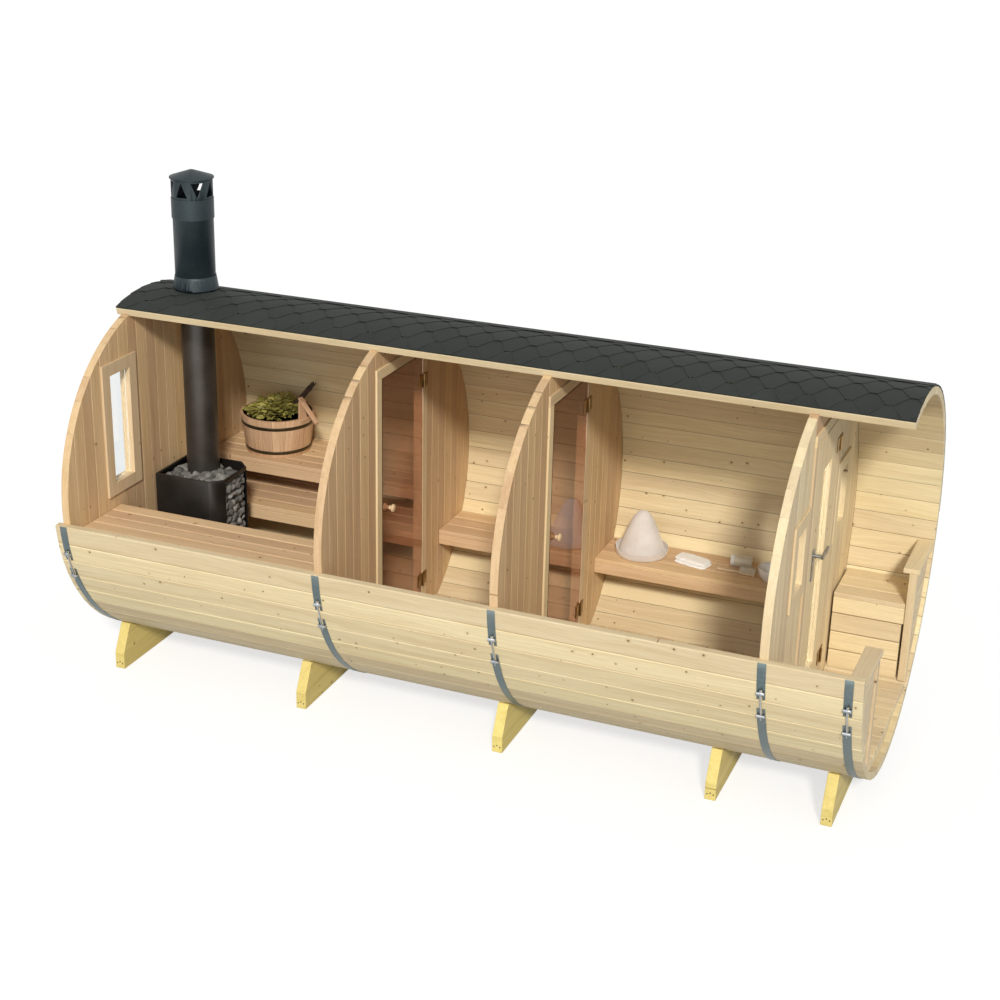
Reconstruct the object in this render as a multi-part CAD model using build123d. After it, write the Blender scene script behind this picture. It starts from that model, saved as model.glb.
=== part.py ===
from build123d import *
from math import cos, degrees, radians, sin, sqrt, tan
import os

# Barrel sauna on five cradles, cut open along the upper front of the barrel so that the
# rooms show: sauna, middle room, changing room and a small porch. Millimetres.
# +X runs along the barrel from the stove end to the porch, +Y to the back, +Z up. The
# origin lies on the ground under the middle of the barrel.
# An angle round the barrel is 0 at the front, 90 at the top and 180 at the back.

# Barrel of staves
length = 4500.0
shell_radius = 1025.0
ground_clearance = 105.0
stave_thickness = 42.0
stave_count = 56
missing_staves = 12
cut_angle = -4.9
stave_gap = 0.4
stave_chamfer = 4.0
croze_depth = 8.0
seat_gap = 0.3

# Round walls that stand in grooves of the staves
wall_thickness = 45.0
gable_inset = 30.0
middle_length = 950.0
changing_length = 1355.0
porch_length = 515.0

# Steel bands round the staves
band_width = 44.0
band_thickness = 1.5
end_band_inset = 70.0
strap_end_angles = (-17.2, -20.7)
strap_slot_width = 15.0
strap_slot_length = 62.0
pin_angles = (-14.6, -23.3)
cross_pin_radius = 9.0
cross_pin_inset = 2.0
rod_radius = 4.0
rod_overhang = 26.0

# Roof covering in overlapping courses
course_count = 18
course_lap_thickness = 14.0
course_top_thickness = 8.0
roof_back_angle = 179.0

# Cradles under the barrel
cradle_thickness = 60.0
cradle_half_length = 640.0
cradle_end_height = 100.0
cradle_shoulder_half = 560.0
cradle_shoulder_height = 262.0
first_cradle = 105.0
cradle_spacing = 1202.0
spaced_cradles = 4
last_cradle_inset = 175.0

# Doors and door frames
leaf_width = 530.0
head_cover = 95.0
leaf_gap = 5.5
threshold_height = 24.0
jamb_width = 60.0
jamb_proud = 10.0
glass_door_thickness = 8.0
front_leaf_thickness = 40.0
front_stile_width = 165.0
front_rail_top = 190.0
front_rail_bottom = 200.0
hinge_height = 80.0
hinge_plate_width = 50.0
hinge_plate_thickness = 5.0
knuckle_radius = 7.0
pin_radius = 3.0
knuckle_gap = 0.5
hinge_inset = 160.0
hinge_axis_reach = 4.0
pin_recess = 5.0
knob_radius = 24.0
knob_length = 34.0
knob_inset = 85.0
knob_height = 785.0
handle_height = 880.0
handle_plate_width = 38.0
handle_plate_height = 170.0
handle_plate_thickness = 7.0
handle_neck_radius = 10.0
handle_neck_drop = 30.0
handle_reach = 58.0
handle_thickness = 13.0
handle_width = 22.0
handle_length = 130.0

# Windows
gable_window_width = 230.0
gable_window_rise = 130.0
gable_window_cover = 58.0
gable_window_offset = 440.0
front_window_width = 200.0
front_window_height = 350.0
front_window_rise = 60.0
front_window_gap = 6.2
window_trim_width = 55.0
window_trim_thickness = 12.0
window_lining = 18.0
pane_thickness = 6.0

# Floors
floor_space = 133.4
floor_board_width = 94.0
board_gap = 6.0
floor_board_thickness = 28.0
floor_joist_width = 60.0
joist_offset = 330.0
floor_side_gap = 4.0
porch_joist_inset = 20.0

# Benches
bench_board_width = 90.0
bench_board_thickness = 28.0
bench_fascia_height = 92.0
bearer_width = 45.0
bearer_height = 60.0
bearer_inset = 40.0
two_bearer_length = 1100.0
sauna_bench_height = 680.0
sauna_bench_edge = 490.0
step_height = 440.0
step_edge = 345.0
room_bench_height = 405.0
room_bench_edge = 530.0
porch_bench_height = 460.0
porch_bench_edge = 530.0
porch_fascia_height = 122.0
porch_front_boards = 3
porch_front_end_gap = 12.0
room_gap = 2.0

# Stove, flue and chimney
stove_length = 430.0
stove_width = 390.0
stove_height = 765.0
stove_leg = 45.0
stove_leg_inset = 80.0
stove_leg_width = 40.0
stove_x = 330.0
stove_y = 20.0
stove_wall = 4.0
stove_corner = 70.0
firebox_height = 250.0
firebox_gap = 1.0
stove_rim = 14.0
stone_window_margin = 22.0
stone_drop = 45.0
fire_door_width = 230.0
fire_door_margin = 30.0
fire_door_proud = 8.0
fire_door_gap = 2.0
fire_handle_size = 12.0
fire_handle_inset = 25.0
flue_radius = 97.0
flue_x = 290.0
flue_y = 80.0
chimney_radius = 116.0
chimney_rise = 540.0
chimney_overlap = 60.0
flashing_radius = 140.0
flashing_height = 90.0
flashing_skirt = 42.0
flashing_lap = 8.0
collar_height = 117.0
collar_step = 5.0
crown_height = 108.0
crown_step = 2.0
crown_cutouts = 8
crown_margin = 12.0
crown_cutout_share = 0.78
cap_radius = 126.0
cap_rim = 8.0
cap_height = 38.0
cap_peak_radius = 12.0
chimney_wall = 3.0

# Porch railings
rail_height = 680.0
rail_cap_thickness = 28.0
rail_cap_width = 90.0
rail_cap_overhang = 10.0
rail_post = 45.0
rail_inner = 515.0
rail_boards = 7
rail_board_thickness = 24.0
rail_board_recess = 10.0
rail_end_inset = 12.0

# Things left on the benches
tub_top_radius = 232.0
tub_base_radius = 200.0
tub_height = 245.0
tub_wall = 16.0
tub_base = 20.0
tub_x = 440.0
tub_gap = 8.0
hoop_height = 22.0
hoop_thickness = 2.0
hoop_shares = (0.08, 0.74)
tub_ear_turn = -18.5
tub_ear_width = 60.0
tub_ear_rise = 124.0
tub_ear_thickness = 14.0
tub_ear_taper = 0.84
tub_bar_width = 30.0
tub_bar_thickness = 12.0
tub_bar_length = 200.0
tub_bar_slope = 42.0
tub_bar_reach = 62.0
tub_bar_drop = 62.0
hat_radius = 155.0
hat_height = 270.0
hat_brim = 42.0
hat_gap = 16.0
hat_inset = 230.0
mitt_length = 225.0
mitt_width = 140.0
mitt_thickness = 30.0
mitt_turn = -16.0
mitt_gap = 40.0
mitt_depth = 170.0
roll_radius = 34.0
roll_length = 125.0
roll_turn = 8.0
roll_gap = 78.0
roll_depth = 245.0
brush_length = 95.0
brush_width = 46.0
brush_thickness = 12.0
brush_bristle = 28.0
brush_grip = 140.0
brush_grip_width = 20.0
brush_gap = 15.0
brush_depth = 150.0
bowl_radius = 78.0
bowl_foot_radius = 38.0
bowl_height = 85.0
bowl_wall = 6.0
bowl_gap = 20.0
bowl_depth = 115.0

# Places along the barrel, measured from its stove end
gable_x = gable_inset
front_wall_x = length - porch_length
changing_start = front_wall_x - changing_length
partition_2_x = changing_start - wall_thickness
partition_1_x = partition_2_x - middle_length - wall_thickness
porch_start = front_wall_x + wall_thickness + jamb_proud
porch_end = length - rail_end_inset
wall_places = (gable_x, partition_1_x, partition_2_x, front_wall_x)

# Sizes that follow from the ones above
axis_height = shell_radius + ground_clearance
stave_pitch = 360.0 / stave_count
half_pitch = radians(stave_pitch / 2)
stave_face = shell_radius * cos(half_pitch)
inner_face = stave_face - stave_thickness
inner_radius = inner_face
wall_radius = inner_face + croze_depth - seat_gap
roof_front_angle = cut_angle + missing_staves * stave_pitch
staves_left = stave_count - missing_staves
band_radius = shell_radius + seat_gap
roof_radius = band_radius + band_thickness + seat_gap
floor_base = axis_height - inner_face + floor_space
floor_top = floor_base + floor_board_thickness
opening_half = leaf_width / 2 + leaf_gap + jamb_width + seat_gap
frame_base = floor_top + seat_gap
leaf_base = floor_top + threshold_height + leaf_gap
head_corner = axis_height + sqrt(wall_radius ** 2 - opening_half ** 2)
head_base = head_corner - head_cover - jamb_width
leaf_height = head_base - leaf_gap - leaf_base
sauna_bench_top = floor_top + sauna_bench_height
step_top = floor_top + step_height
room_bench_top = floor_top + room_bench_height
porch_bench_top = floor_top + porch_bench_height
rail_top = floor_top + rail_height
gable_window_base = sauna_bench_top + gable_window_rise
gable_window_reach = gable_window_offset + gable_window_width / 2 + window_trim_width
gable_window_head = axis_height + sqrt(wall_radius ** 2 - gable_window_reach ** 2)
gable_window_height = (gable_window_head - gable_window_cover - window_trim_width
                       - gable_window_base)
front_window_base = axis_height + front_window_rise
front_window_offset = (opening_half + front_window_gap + window_trim_width
                       + front_window_width / 2)
strap_radius = band_radius + band_thickness
mitt_turn_radians = radians(abs(mitt_turn))
mitt_reach = (mitt_length * cos(mitt_turn_radians) + mitt_width * sin(mitt_turn_radians)) / 2
mitt_inset = hat_inset + hat_radius + mitt_gap + mitt_reach
roll_inset = mitt_inset + mitt_reach + roll_gap + roll_length / 2
brush_inset = mitt_inset + mitt_reach + brush_gap + brush_grip + brush_length / 2
bowl_inset = brush_inset + brush_length / 2 + bowl_gap + bowl_radius
chimney_top = axis_height + shell_radius + chimney_rise


def place(x):
    """Along the barrel, from the stove end, to the model's X."""
    return x - length / 2


def block(x0, x1, y0, y1, z0, z1):
    size = (x1 - x0, y1 - y0, z1 - z0)
    middle = (place((x0 + x1) / 2), (y0 + y1) / 2, (z0 + z1) / 2)
    return Pos(*middle) * Box(*size)


def prism(points, x0, x1):
    """Outline of (y, z) points, drawn out along the barrel."""
    outline = make_face(Polyline(*points, close=True))
    return extrude(Plane.YZ.offset(place(x0)) * outline, amount=x1 - x0)


def disc(radius, x0, x1):
    middle = (place((x0 + x1) / 2), 0, axis_height)
    return Pos(*middle) * Rot(0, 90, 0) * Cylinder(radius, x1 - x0)


def column(x, y, radius, z0, z1):
    return Pos(place(x), y, (z0 + z1) / 2) * Cylinder(radius, z1 - z0)


def cone(x, y, base_radius, top_radius, z0, z1):
    return Pos(place(x), y, (z0 + z1) / 2) * Cone(base_radius, top_radius, z1 - z0)


def ring_point(radius, angle):
    turn = radians(angle)
    return (-radius * cos(turn), axis_height + radius * sin(turn))


def arc_slab(inner, outer, start, end, x0, x1):
    """Part of a ring round the barrel, between two angles."""
    middle = (start + end) / 2
    inner_arc = ThreePointArc(
        ring_point(inner, start), ring_point(inner, middle), ring_point(inner, end)
    )
    outer_arc = ThreePointArc(
        ring_point(outer, start), ring_point(outer, middle), ring_point(outer, end)
    )
    sides = [
        Line(ring_point(inner, start), ring_point(outer, start)),
        Line(ring_point(inner, end), ring_point(outer, end)),
    ]
    face = make_face([inner_arc, outer_arc, *sides])
    return extrude(Plane.YZ.offset(place(x0)) * face, amount=x1 - x0)


def turned(shape, angle):
    """A shape made at the top of the barrel, carried to an angle round it."""
    return Pos(0, 0, axis_height) * Rot(90 - angle, 0, 0) * shape


def save(name, *shapes):
    solids = [solid for shape in shapes for solid in shape.solids()]
    whole = solids[0] if len(solids) == 1 else Compound(children=solids)
    export_step(whole, f"parts/{name}.step")


def stave():
    """One stave lying at the top of the barrel about its own axis."""

    def half_width(height):
        return height * tan(half_pitch) - stave_gap / 2

    lower = half_width(inner_face)
    shoulder = half_width(stave_face - stave_chamfer)
    crown = half_width(stave_face) - stave_chamfer
    points = [
        (-lower, inner_face),
        (lower, inner_face),
        (shoulder, stave_face - stave_chamfer),
        (crown, stave_face),
        (-crown, stave_face),
        (-shoulder, stave_face - stave_chamfer),
    ]
    outline = make_face(Polyline(*points, close=True))
    body = extrude(Plane.YZ.offset(place(0)) * outline, amount=length)
    for x in wall_places:
        middle = place(x + wall_thickness / 2)
        width = wall_thickness + 2 * seat_gap
        groove = Box(width, 4 * shoulder, 2 * croze_depth)
        body -= Pos(middle, 0, inner_face) * groove
    return body


def staves():
    pattern = stave()
    hole = column(flue_x, flue_y, chimney_radius + seat_gap, axis_height, chimney_top)
    placed = []
    for index in range(staves_left):
        angle = cut_angle - (index + 0.5) * stave_pitch
        piece = turned(pattern, angle)
        if sin(radians(angle)) > 0.9:
            piece = piece - hole
        placed.append(piece)
    names = ("front", "bottom", "back_low", "back_high", "top")
    size = -(-staves_left // len(names))
    for number, name in enumerate(names):
        save(f"staves_{name}", *placed[number * size:(number + 1) * size])


def strap_slot(centre, angle, side):
    """Slot in a strap end, so that the rod passes between two prongs."""
    middle = angle + side * degrees(strap_slot_length / 2 / strap_radius)
    slot = Box(strap_slot_width, strap_slot_length + 1, 4 * cross_pin_radius)
    return turned(Pos(place(centre), 0, strap_radius) * slot, middle)


def band(centre):
    """Strap in two lengths: one down from the cut edge, one on round to the roof edge."""
    x0 = centre - band_width / 2
    x1 = centre + band_width / 2
    upper_end, lower_end = strap_end_angles
    upper = arc_slab(band_radius, strap_radius, upper_end, cut_angle, x0, x1)
    lower = arc_slab(band_radius, strap_radius, roof_front_angle - 360, lower_end, x0, x1)
    return upper - strap_slot(centre, upper_end, 1), lower - strap_slot(centre, lower_end, -1)


def tensioner(centre):
    """Cross pins on both strap ends and the threaded rod that pulls them together."""
    middle = sum(pin_angles) / 2
    half_turn = radians(abs(pin_angles[0] - pin_angles[1]) / 2)
    pin_place = strap_radius + seat_gap + cross_pin_radius
    pin_length = band_width - 2 * cross_pin_inset
    rod_length = 2 * (pin_place * sin(half_turn) + rod_overhang)
    rod = Rot(90, 0, 0) * Cylinder(rod_radius, rod_length)
    joined = turned(Pos(place(centre), 0, pin_place * cos(half_turn)) * rod, middle)
    for angle in pin_angles:
        pin = Rot(0, 90, 0) * Cylinder(cross_pin_radius, pin_length)
        joined = joined + turned(Pos(place(centre), 0, pin_place) * pin, angle)
    return joined


def bands():
    centres = [x + wall_thickness / 2 for x in wall_places]
    centres.append(length - end_band_inset)
    straps = []
    for centre in centres:
        straps.extend(band(centre))
    save("bands", *straps)
    save("band_tensioners", *[tensioner(centre) for centre in centres])


def roof():
    """Courses of covering: three down the front of the ridge, the rest down the back."""
    courses = []
    pitch = (roof_back_angle - roof_front_angle) / course_count
    hole = column(flue_x, flue_y, chimney_radius + flashing_lap, axis_height, chimney_top)
    seat = roof_radius / cos(radians(pitch / 4))
    front_courses = round((90 - roof_front_angle) / pitch)
    for index in range(course_count):
        start = roof_front_angle + index * pitch
        end = start + pitch
        inset = degrees(seat_gap / 2 / roof_radius)
        thick_start = index < front_courses
        low = roof_radius + course_lap_thickness
        high = roof_radius + course_top_thickness
        outer_start = low if thick_start else high
        outer_end = high if thick_start else low
        middle = (start + end) / 2
        face_points = [
            ring_point(seat, start + inset),
            ring_point(seat, middle),
            ring_point(seat, end - inset),
            ring_point(outer_end, end - inset),
            ring_point((outer_start + outer_end) / 2, middle),
            ring_point(outer_start, start + inset),
        ]
        course = prism(face_points, 0, length)
        if abs(course.center().Y - flue_y) < 3 * flashing_radius:
            course = course - hole
        courses.append(course)
    save("roof_covering", *courses)


def cradle(centre):
    seat = shell_radius + seat_gap
    shoulder_z = cradle_shoulder_height
    points = [
        (-cradle_half_length, 0),
        (cradle_half_length, 0),
        (cradle_half_length, cradle_end_height),
        (cradle_shoulder_half, shoulder_z),
        (-cradle_shoulder_half, shoulder_z),
        (-cradle_half_length, cradle_end_height),
    ]
    x0 = centre - cradle_thickness / 2
    x1 = centre + cradle_thickness / 2
    return prism(points, x0, x1) - disc(seat, x0 - 1, x1 + 1)


def cradles():
    centres = [first_cradle + index * cradle_spacing for index in range(spaced_cradles)]
    centres.append(length - last_cradle_inset)
    save("cradles", *[cradle(centre) for centre in centres])


def window_frame(x, y, z0, width, height, pane_list):
    """Lining with a trim on both faces of the wall, and its pane."""
    x0 = x
    x1 = x + wall_thickness
    half = width / 2
    outer = block(x0, x1, y - half + seat_gap, y + half - seat_gap, z0 + seat_gap,
                  z0 + height - seat_gap)
    trims = Part()
    reach = half + window_trim_width
    for side in (x0 - window_trim_thickness - seat_gap, x1 + seat_gap):
        trims += block(side, side + window_trim_thickness, y - reach, y + reach,
                       z0 - window_trim_width, z0 + height + window_trim_width)
    bridge = block(x0 - seat_gap - 1, x1 + seat_gap + 1, y - half + seat_gap,
                   y + half - seat_gap, z0 + seat_gap, z0 + height - seat_gap)
    opening = block(x0 - 50, x1 + 50, y - half + window_lining, y + half - window_lining,
                    z0 + window_lining, z0 + height - window_lining)
    middle = x + wall_thickness / 2
    pane = block(middle - pane_thickness / 2, middle + pane_thickness / 2,
                 y - half + window_lining + seat_gap, y + half - window_lining - seat_gap,
                 z0 + window_lining + seat_gap, z0 + height - window_lining - seat_gap)
    pane_list.append(pane)
    return outer + trims + bridge - opening


def window_hole(x, y, z0, width, height):
    return block(x - 1, x + wall_thickness + 1, y - width / 2, y + width / 2, z0, z0 + height)


def gable():
    wall = disc(wall_radius, gable_x, gable_x + wall_thickness)
    frames = []
    panes = []
    for y in (-gable_window_offset, gable_window_offset):
        size = (gable_window_width, gable_window_height)
        wall -= window_hole(gable_x, y, gable_window_base, *size)
        frames.append(window_frame(gable_x, y, gable_window_base, *size, panes))
    save("back_wall", wall)
    return frames, panes


def door_wall(name, x, holes, doorway):
    """Round wall in four parts round a doorway: two sides, a head and a sill."""
    x1 = x + wall_thickness
    whole = disc(wall_radius, x, x1)
    reach = shell_radius
    inside = opening_half - seat_gap
    top = 2 * axis_height
    parts = {
        "near": block(x - 1, x1 + 1, -reach, -opening_half, 0, top),
        "far": block(x - 1, x1 + 1, opening_half, reach, 0, top),
        "head": block(x - 1, x1 + 1, -inside, inside, head_base + jamb_width + seat_gap, top),
        "sill": block(x - 1, x1 + 1, -inside, inside, 0, floor_top),
    }
    for part, cutter in parts.items():
        piece = whole & cutter
        for hole in holes:
            piece = piece - hole
        if part in doorway:
            doorway[part].append(piece)
        else:
            save(f"{name}_{part}", piece)


def door_frame(name, x):
    x0 = x - jamb_proud
    x1 = x + wall_thickness + jamb_proud
    inner = leaf_width / 2 + leaf_gap
    outer = inner + jamb_width
    near = block(x0, x1, -outer, -inner, frame_base, head_base)
    far = block(x0, x1, inner, outer, frame_base, head_base)
    head = block(x0, x1, -outer, outer, head_base + seat_gap, head_base + jamb_width)
    sill = block(x0, x1, -inner + seat_gap, inner - seat_gap, frame_base,
                 floor_top + threshold_height)
    save(f"{name}_frame", near, far, head, sill)


def hinge_pair(x, z):
    """Fixed and moving half of a butt hinge, opened toward +X."""
    axis_x = x + hinge_plate_thickness + hinge_axis_reach
    axis_y = leaf_width / 2 + leaf_gap / 2
    half = hinge_height / 2
    lift = knuckle_radius + knuckle_gap
    plate_x0 = x + seat_gap
    plate_x1 = x + hinge_plate_thickness
    fixed = block(plate_x0, plate_x1, axis_y + lift, axis_y + lift + hinge_plate_width,
                  z - half, z + half)
    fixed += block(plate_x0, plate_x1, axis_y, axis_y + lift + 1, z - half,
                   z - knuckle_gap)
    fixed += column(axis_x, axis_y, knuckle_radius, z - half, z - knuckle_gap)
    fixed += column(axis_x, axis_y, pin_radius, z - half, z + half - pin_recess)
    moving = block(plate_x0, plate_x1, axis_y - lift - hinge_plate_width, axis_y - lift,
                   z - half, z + half)
    moving += block(plate_x0, plate_x1, axis_y - lift - 1, axis_y, z, z + half)
    moving += column(axis_x, axis_y, knuckle_radius, z, z + half)
    moving -= column(axis_x, axis_y, pin_radius + seat_gap, z - 1, z + half + 1)
    return fixed, moving


def knob(x0, x1, y, z):
    """Turned knob on both faces, with its spindle through the glass."""
    profile = [
        (0, 0), (knob_radius * 0.5, 0), (knob_radius * 0.45, knob_length * 0.35),
        (knob_radius, knob_length * 0.6), (knob_radius * 0.85, knob_length * 0.9),
        (knob_radius * 0.4, knob_length), (0, knob_length),
    ]
    outline = make_face(Plane.XZ * Polyline(*profile, close=True))
    turned_knob = revolve(outline, Axis.Z)
    front = Pos(place(x1 + seat_gap), y, z) * Rot(0, 90, 0) * turned_knob
    back = Pos(place(x0 - seat_gap), y, z) * Rot(0, -90, 0) * turned_knob
    return front, back


def glass_door(name, x, fixed_hinges):
    """Tinted glass leaf flush with the +X face of its frame."""
    face = x + wall_thickness + jamb_proud
    back = face - glass_door_thickness
    half = leaf_width / 2
    glass = block(back, face, -half, half, leaf_base, leaf_base + leaf_height)
    save(f"{name}_glass", glass)
    moving_halves = []
    for z in (leaf_base + hinge_inset, leaf_base + leaf_height - hinge_inset):
        fixed, moving = hinge_pair(face, z)
        fixed_hinges.append(fixed)
        moving_halves.append(moving)
    save(f"{name}_hinges", *moving_halves)
    front, rear = knob(back, face, -half + knob_inset, leaf_base + knob_height)
    save(f"{name}_knob", front, rear)


def front_door(fixed_hinges):
    """Wooden leaf with a tall narrow pane and a lever handle on a long plate."""
    face = front_wall_x + wall_thickness + jamb_proud
    back = face - front_leaf_thickness
    half = leaf_width / 2
    leaf = block(back, face, -half, half, leaf_base, leaf_base + leaf_height)
    pane_half = half - front_stile_width
    low = leaf_base + front_rail_bottom
    high = leaf_base + leaf_height - front_rail_top
    leaf -= block(back - 1, face + 1, -pane_half, pane_half, low, high)
    middle = (back + face) / 2
    pane = block(middle - pane_thickness / 2, middle + pane_thickness / 2,
                 -pane_half + seat_gap, pane_half - seat_gap, low + seat_gap, high - seat_gap)
    save("front_door_leaf", leaf)
    save("front_door_glass", pane)
    moving_halves = []
    for z in (leaf_base + hinge_inset, leaf_base + leaf_height - hinge_inset):
        fixed, moving = hinge_pair(face, z)
        fixed_hinges.append(fixed)
        moving_halves.append(moving)
    save("front_door_hinges", *moving_halves)
    y = -half + knob_inset
    z = leaf_base + handle_height
    half_width = handle_plate_width / 2
    half_height = handle_plate_height / 2
    handle = block(face + seat_gap, face + handle_plate_thickness, y - half_width,
                   y + half_width, z - half_height, z + half_height)
    reach = face + handle_reach
    neck_z = z + half_height - handle_neck_drop
    neck = Rot(0, 90, 0) * Cylinder(handle_neck_radius, handle_reach - handle_thickness)
    handle += Pos(place(face + (handle_reach - handle_thickness) / 2 + seat_gap), y,
                  neck_z) * neck
    handle += block(reach - handle_thickness, reach, y - handle_neck_radius,
                    y + handle_length, neck_z - handle_width / 2, neck_z + handle_width / 2)
    save("front_door_handle", handle)


def shell_half_width(z):
    """Half the free width inside the barrel at a height."""
    return sqrt(inner_radius ** 2 - (axis_height - z) ** 2)


def floor_room(x0, x1):
    """Boards across the barrel on two joists that rest on the staves."""
    first = x0 + room_gap
    last = x1 - room_gap
    pitch = floor_board_width + board_gap
    count = int((last - first + board_gap) // pitch)
    width = (last - first + board_gap) / count - board_gap
    half = shell_half_width(floor_base) - floor_side_gap
    boards = []
    for index in range(count):
        start = first + index * (width + board_gap)
        boards.append(block(start, start + width, -half, half, floor_base, floor_top))
    joists = []
    for y in (-joist_offset, joist_offset):
        joist = block(first, last, y - floor_joist_width / 2, y + floor_joist_width / 2,
                      0, floor_base - seat_gap)
        joists.append(joist & disc(inner_radius - seat_gap, first - 1, last + 1))
    return boards, joists


def porch_floor():
    """Boards along the barrel on two bars across it."""
    x0 = porch_start + room_gap
    half = shell_half_width(floor_base) - floor_side_gap
    pitch = floor_board_width + board_gap
    count = int((2 * half + board_gap) // pitch)
    width = (2 * half + board_gap) / count - board_gap
    boards = []
    for index in range(count):
        start = -half + index * (width + board_gap)
        boards.append(block(x0, porch_end, start, start + width, floor_base, floor_top))
    joists = []
    for x in (x0 + porch_joist_inset, porch_end - porch_joist_inset - floor_joist_width):
        bar = block(x, x + floor_joist_width, -half, half, 0, floor_base - seat_gap)
        joists.append(bar & disc(inner_radius - seat_gap, x - 1, x + floor_joist_width + 1))
    return boards, joists


def floors():
    rooms = [
        floor_room(gable_x + wall_thickness, partition_1_x),
        floor_room(partition_1_x + wall_thickness, partition_2_x),
        floor_room(changing_start, front_wall_x),
        porch_floor(),
    ]
    save("floor_boards", *[board for boards, joists in rooms for board in boards])
    save("floor_joists", *[joist for boards, joists in rooms for joist in joists])


def bearer_starts(first, last):
    """Where the bearers of a bench begin: near both ends, and midway on a long bench."""
    count = 2 if last - first < two_bearer_length else 3
    run = last - first - 2 * bearer_inset - bearer_width
    return [first + bearer_inset + index * run / (count - 1) for index in range(count)]


def bench(x0, x1, edge, top, side, fascia_height=bench_fascia_height):
    """Boards along the barrel, a fascia at the edge and bearers down to the staves."""
    base = top - bench_board_thickness
    first = x0 + room_gap
    last = x1 - room_gap
    outer = shell_half_width(base) - 2 * seat_gap
    count = int((outer - edge + board_gap) // (bench_board_width + board_gap))
    width = (outer - edge + board_gap) / count - board_gap
    shapes = []
    for index in range(count):
        start = edge + index * (width + board_gap)
        y0, y1 = sorted((side * start, side * (start + width)))
        shapes.append(block(first, last, y0, y1, base, top))
    fascia_top = base - seat_gap
    y0, y1 = sorted((side * edge, side * (edge + bench_board_thickness)))
    shapes.append(block(first, last, y0, y1, top - fascia_height, fascia_top))
    inner = edge + bench_board_thickness + seat_gap
    y0, y1 = sorted((side * inner, side * shell_radius))
    for start in bearer_starts(first, last):
        bearer = block(start, start + bearer_width, y0, y1, fascia_top - bearer_height,
                       fascia_top)
        shapes.append(bearer & disc(inner_radius - seat_gap, start - 1,
                                    start + bearer_width + 1))
    return shapes


def porch_front(x0, x1):
    """Boards that close the front of the porch bench, on studs from floor to bearer."""
    first = x0 + room_gap
    last = x1 - room_gap
    low = floor_top + seat_gap
    high = porch_bench_top - porch_fascia_height
    zone = (high - low) / porch_front_boards
    shapes = []
    for index in range(porch_front_boards):
        z0 = low + index * zone
        board = block(first, last - porch_front_end_gap, porch_bench_edge,
                      porch_bench_edge + bench_board_thickness, z0, z0 + zone - board_gap)
        shapes.append(board & disc(inner_radius - seat_gap, first - 1, last + 1))
    inner = porch_bench_edge + bench_board_thickness + seat_gap
    stud_top = porch_bench_top - bench_board_thickness - bearer_height - 2 * seat_gap
    for start in bearer_starts(first, last):
        stud = block(start, start + bearer_width, inner, inner + bearer_width, low, stud_top)
        shapes.append(stud & disc(inner_radius - seat_gap, start - 1,
                                  start + bearer_width + 1))
    return shapes


def benches():
    sauna = (gable_x + wall_thickness, partition_1_x)
    middle = (partition_1_x + wall_thickness, partition_2_x)
    changing = (changing_start, front_wall_x)
    porch = (porch_start, porch_end - rail_post)
    near = bench(*sauna, sauna_bench_edge, sauna_bench_top, -1)
    far = bench(*sauna, sauna_bench_edge, sauna_bench_top, 1)
    porch_top = bench(*porch, porch_bench_edge, porch_bench_top, 1, porch_fascia_height)
    save("sauna_benches", *near, *far)
    save("sauna_step", *bench(*sauna, step_edge, step_top, 1))
    save("middle_bench", *bench(*middle, room_bench_edge, room_bench_top, 1))
    save("changing_bench", *bench(*changing, room_bench_edge, room_bench_top, 1))
    save("porch_bench", *porch_top, *porch_front(*porch))


def stove_outline(grow):
    """Plan of the stove with its two chamfered corners toward the room."""
    x0 = place(stove_x) - stove_length / 2 - grow
    x1 = place(stove_x) + stove_length / 2 + grow
    y0 = stove_y - stove_width / 2 - grow
    y1 = stove_y + stove_width / 2 + grow
    corner = stove_corner + grow * (2 - sqrt(2))
    return [
        (x0, y0), (x1 - corner, y0), (x1, y0 + corner),
        (x1, y1 - corner), (x1 - corner, y1), (x0, y1),
    ]


def stove_prism(grow, z0, z1):
    outline = make_face(Polyline(*stove_outline(grow), close=True))
    return extrude(Plane.XY.offset(z0) * outline, amount=z1 - z0)


def fire_door(fire_top, bottom):
    """Door of the firebox with its pull, closed, on the face toward the room."""
    face = stove_x + stove_length / 2
    low = bottom + fire_door_margin
    high = fire_top - fire_door_margin
    half = fire_door_width / 2
    door = block(face - stove_wall - 2 * firebox_gap, face + fire_door_proud,
                 stove_y - half, stove_y + half, low, high)
    pull_y = stove_y - half + fire_handle_inset
    reach = face + fire_door_proud + 2 * fire_handle_size
    pull = block(reach - fire_handle_size, reach, pull_y, pull_y + fire_handle_size,
                 low + fire_handle_inset, high - fire_handle_inset)
    for z in (low + fire_handle_inset, high - fire_handle_inset - fire_handle_size):
        pull += block(face + fire_door_proud - 1, reach, pull_y, pull_y + fire_handle_size,
                      z, z + fire_handle_size)
    grown = half + fire_door_gap
    hole = block(face - 2 * stove_wall, face + stove_wall, stove_y - grown, stove_y + grown,
                 low - fire_door_gap, high + fire_door_gap)
    return door + pull, hole


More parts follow.
